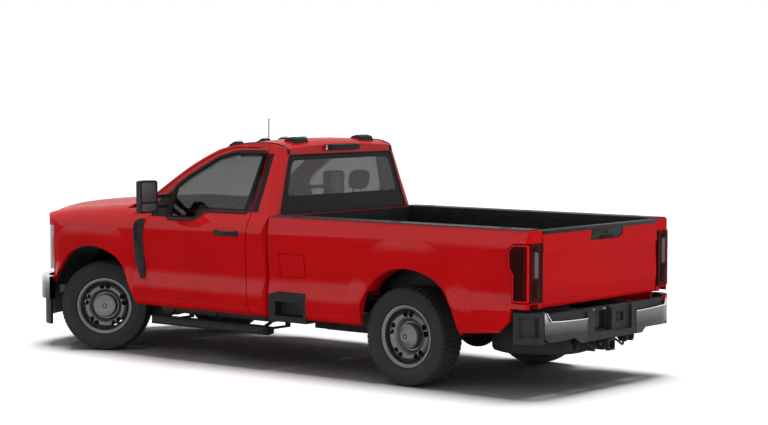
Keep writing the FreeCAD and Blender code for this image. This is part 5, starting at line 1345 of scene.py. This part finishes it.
def front_lamps():
    tree = skin("headlamps")
    marker = refined(rounded(box(2.48, 0.78, 2.506, 1.0), 0.008), 0.04)
    for face, side in SIDES:
        bm = bmesh.new()
        line = refined(rounded(box(0.58, 0.735, 0.88, 1.08, side), 0.03), 0.03)
        ribbon(bm, tree, "front", offset(line, -0.028), line, 0.003, 0.006)
        plate(bm, tree, "front", refined(box(0.6, 0.885, 0.86, 0.925, side), 0.03), 0.003, 0.006)
        piece("headlamp_bezel_" + face, bm, "black_gloss", bevel=0.001)
        bm = bmesh.new()
        for z0, z1 in ((0.77, 0.872), (0.938, 1.046)):
            for y0, y1 in ((0.62, 0.72), (0.738, 0.838)):
                lens_line = refined(rounded(box(y0, z0, y1, z1, side), 0.015), 0.03)
                plate(bm, tree, "front", lens_line, 0.0035, 0.005)
        piece("headlamp_lenses_" + face, bm, "lamp_front", bevel=0.002)
        single("front_side_marker_" + face, "lamp_amber", plate, tree, face, marker, 0.003, 0.005,
               bevel=0.001)


def front_bumper_details():
    """Air slot, fog lamps and tow hooks."""
    tree = skin("front_bumper")
    slot = refined(rounded(pairs(-330, 475, 330, 475, 360, 590, -360, 590), 0.02), 0.04)
    single("bumper_air_slot", "black_plastic", plate, tree, "front", slot, 0.003, 0.008, bevel=0.002)
    lamps, hooks = bmesh.new(), bmesh.new()
    for side in (1, -1):
        lamp = [(side * 0.62 + a, 0.535 + b) for a, b in superellipse(0.05, 0.04, 3.0)]
        plate(lamps, tree, "front", lamp, 0.004, 0.008)
        x = onto(tree, "front", side * 0.43, 0.47).x
        hook = pairs(-10, 448, 22, 448, 34, 476, 22, 500, 2, 500)
        tube(hooks, smooth([(x + a, side * 0.43, z) for a, z in hook], 4), 0.01, 10)
    piece("fog_lamps", lamps, "lamp_front", bevel=0.002)
    piece("tow_hooks", hooks, "chassis_black")


# Running gear seen through the arches
def running_gear():
    """Dampers, track rod and steering link."""
    bm = bmesh.new()
    for x, y0, z0, y1, z1 in ((FRONT_AXLE_X - 0.13, 0.56, 0.43, 0.47, 0.84),
                              (REAR_AXLE_X + 0.13, 0.5, 0.4, 0.455, 0.69)):
        for side in (1, -1):
            a, b = Vector((x, side * y0, z0)), Vector((x, side * y1, z1))
            tube(bm, [a, a.lerp(b, 0.55)], 0.028, 14)
            tube(bm, [a.lerp(b, 0.53), b], 0.016, 12)
    piece("shock_absorbers", bm, "steel_dark")
    bm = bmesh.new()
    for radius, height, rod in ((0.014, 0.33, ((-0.18, 0.5), (-0.19, 0.0), (-0.18, -0.5))),
                                (0.012, 0.56, ((0.12, -0.48), (0.13, 0.43)))):
        tube(bm, [(FRONT_AXLE_X + x, y, height) for x, y in rod], radius, 10)
    piece("steering_rods", bm, "steel_dark")


def underside():
    """Arms, brackets, pipes and straps that hang below the body."""
    arms, sills, stays, lines = (bmesh.new() for _ in range(4))
    foot = rounded(pairs(1100, 372, 1230, 372, 1250, 500, 1080, 500), 0.012)
    sill = rounded(pairs(790, 475, 790, 412, 806, 388, 838, 388, 850, 410, 850, 475), 0.01)
    for side in (1, -1):
        arm = triples(1900, 470, 330, 1700, 468, 322, 1400, 460, 352, 1160, 455, 400, side=side)
        loft(arms, [[Vector(p) + Vector((0, a, b)) for a, b in superellipse(0.024, half, 4.0, 16)]
                    for p, half in zip(arm, (0.03, 0.046, 0.04, 0.026))])
        for y in (0.418, 0.484):
            prism(arms, foot, "y", side * y, side * (y + 0.008))
        prism(sills, [(side * y, z) for y, z in sill], "x", -0.105, 1.225)
        for x in (0.02, 0.6, 1.11):
            pad = [(x - 0.045, 0.392), (x + 0.045, 0.392), (x + 0.06, 0.45), (x - 0.06, 0.45)]
            prism(sills, rounded(pad, 0.01), "y", side * 0.78, side * 0.862)
        for x in (-0.02, 0.56, 1.14):
            tube(stays, [(x, side * y, z) for y, z in pairs(470, 500, 640, 452, 800, 372, 880, 340)], 0.015,
                 12)
    for k, y in enumerate((0.462, 0.474, 0.486)):
        sag = 0.006 * k
        path = ((1.3, 0.52 + sag), (0.9, 0.47 - sag), (0.3, 0.466 + sag), (-0.3, 0.474 - sag), (-1.0, 0.5))
        tube(lines, smooth([(x, y, z) for x, z in path], 5), 0.0045, 8)
    piece("radius_arms", arms, "chassis_black", bevel=0.002)
    piece("sill_undersides", sills, "chassis_black", bevel=0.003)
    piece("board_stays", stays, "chassis_black")
    piece("fuel_and_brake_lines", lines, "steel_dark")


def bed_step_treads():
    """Ribs on the steps below the front of the bed."""
    bm = bmesh.new()
    for side in (1, -1):
        for k in range(9):
            x = -0.3 - 0.028 * k
            slab(bm, (x - 0.012, side * 0.925, 0.4735), (x, side * 0.992, 0.4795))
    piece("bed_step_treads", bm, "rubber_trim", bevel=0.001)


def make_body_details():
    door_trim()
    mirror_details()
    rear_window_trim()
    high_brake_lamp()
    marker_lenses()
    roof_trim()
    antenna_sleeve()
    wing_vent()
    arch_flares()
    tailgate_trim()
    tail_lamp_details()
    bed_fittings()
    bumper_details()
    hitch_details()
    board_pads()
    cowl_and_wipers()
    grille_details()
    front_lamps()
    front_bumper_details()
    running_gear()
    underside()
    bed_step_treads()


dress_nodes()
make_wheels()
make_body_details()
make_seats()
cabin_details()
make_camera()
make_floor()
make_world()
make_lights()
bpy.context.scene.view_settings.view_transform = "Standard"
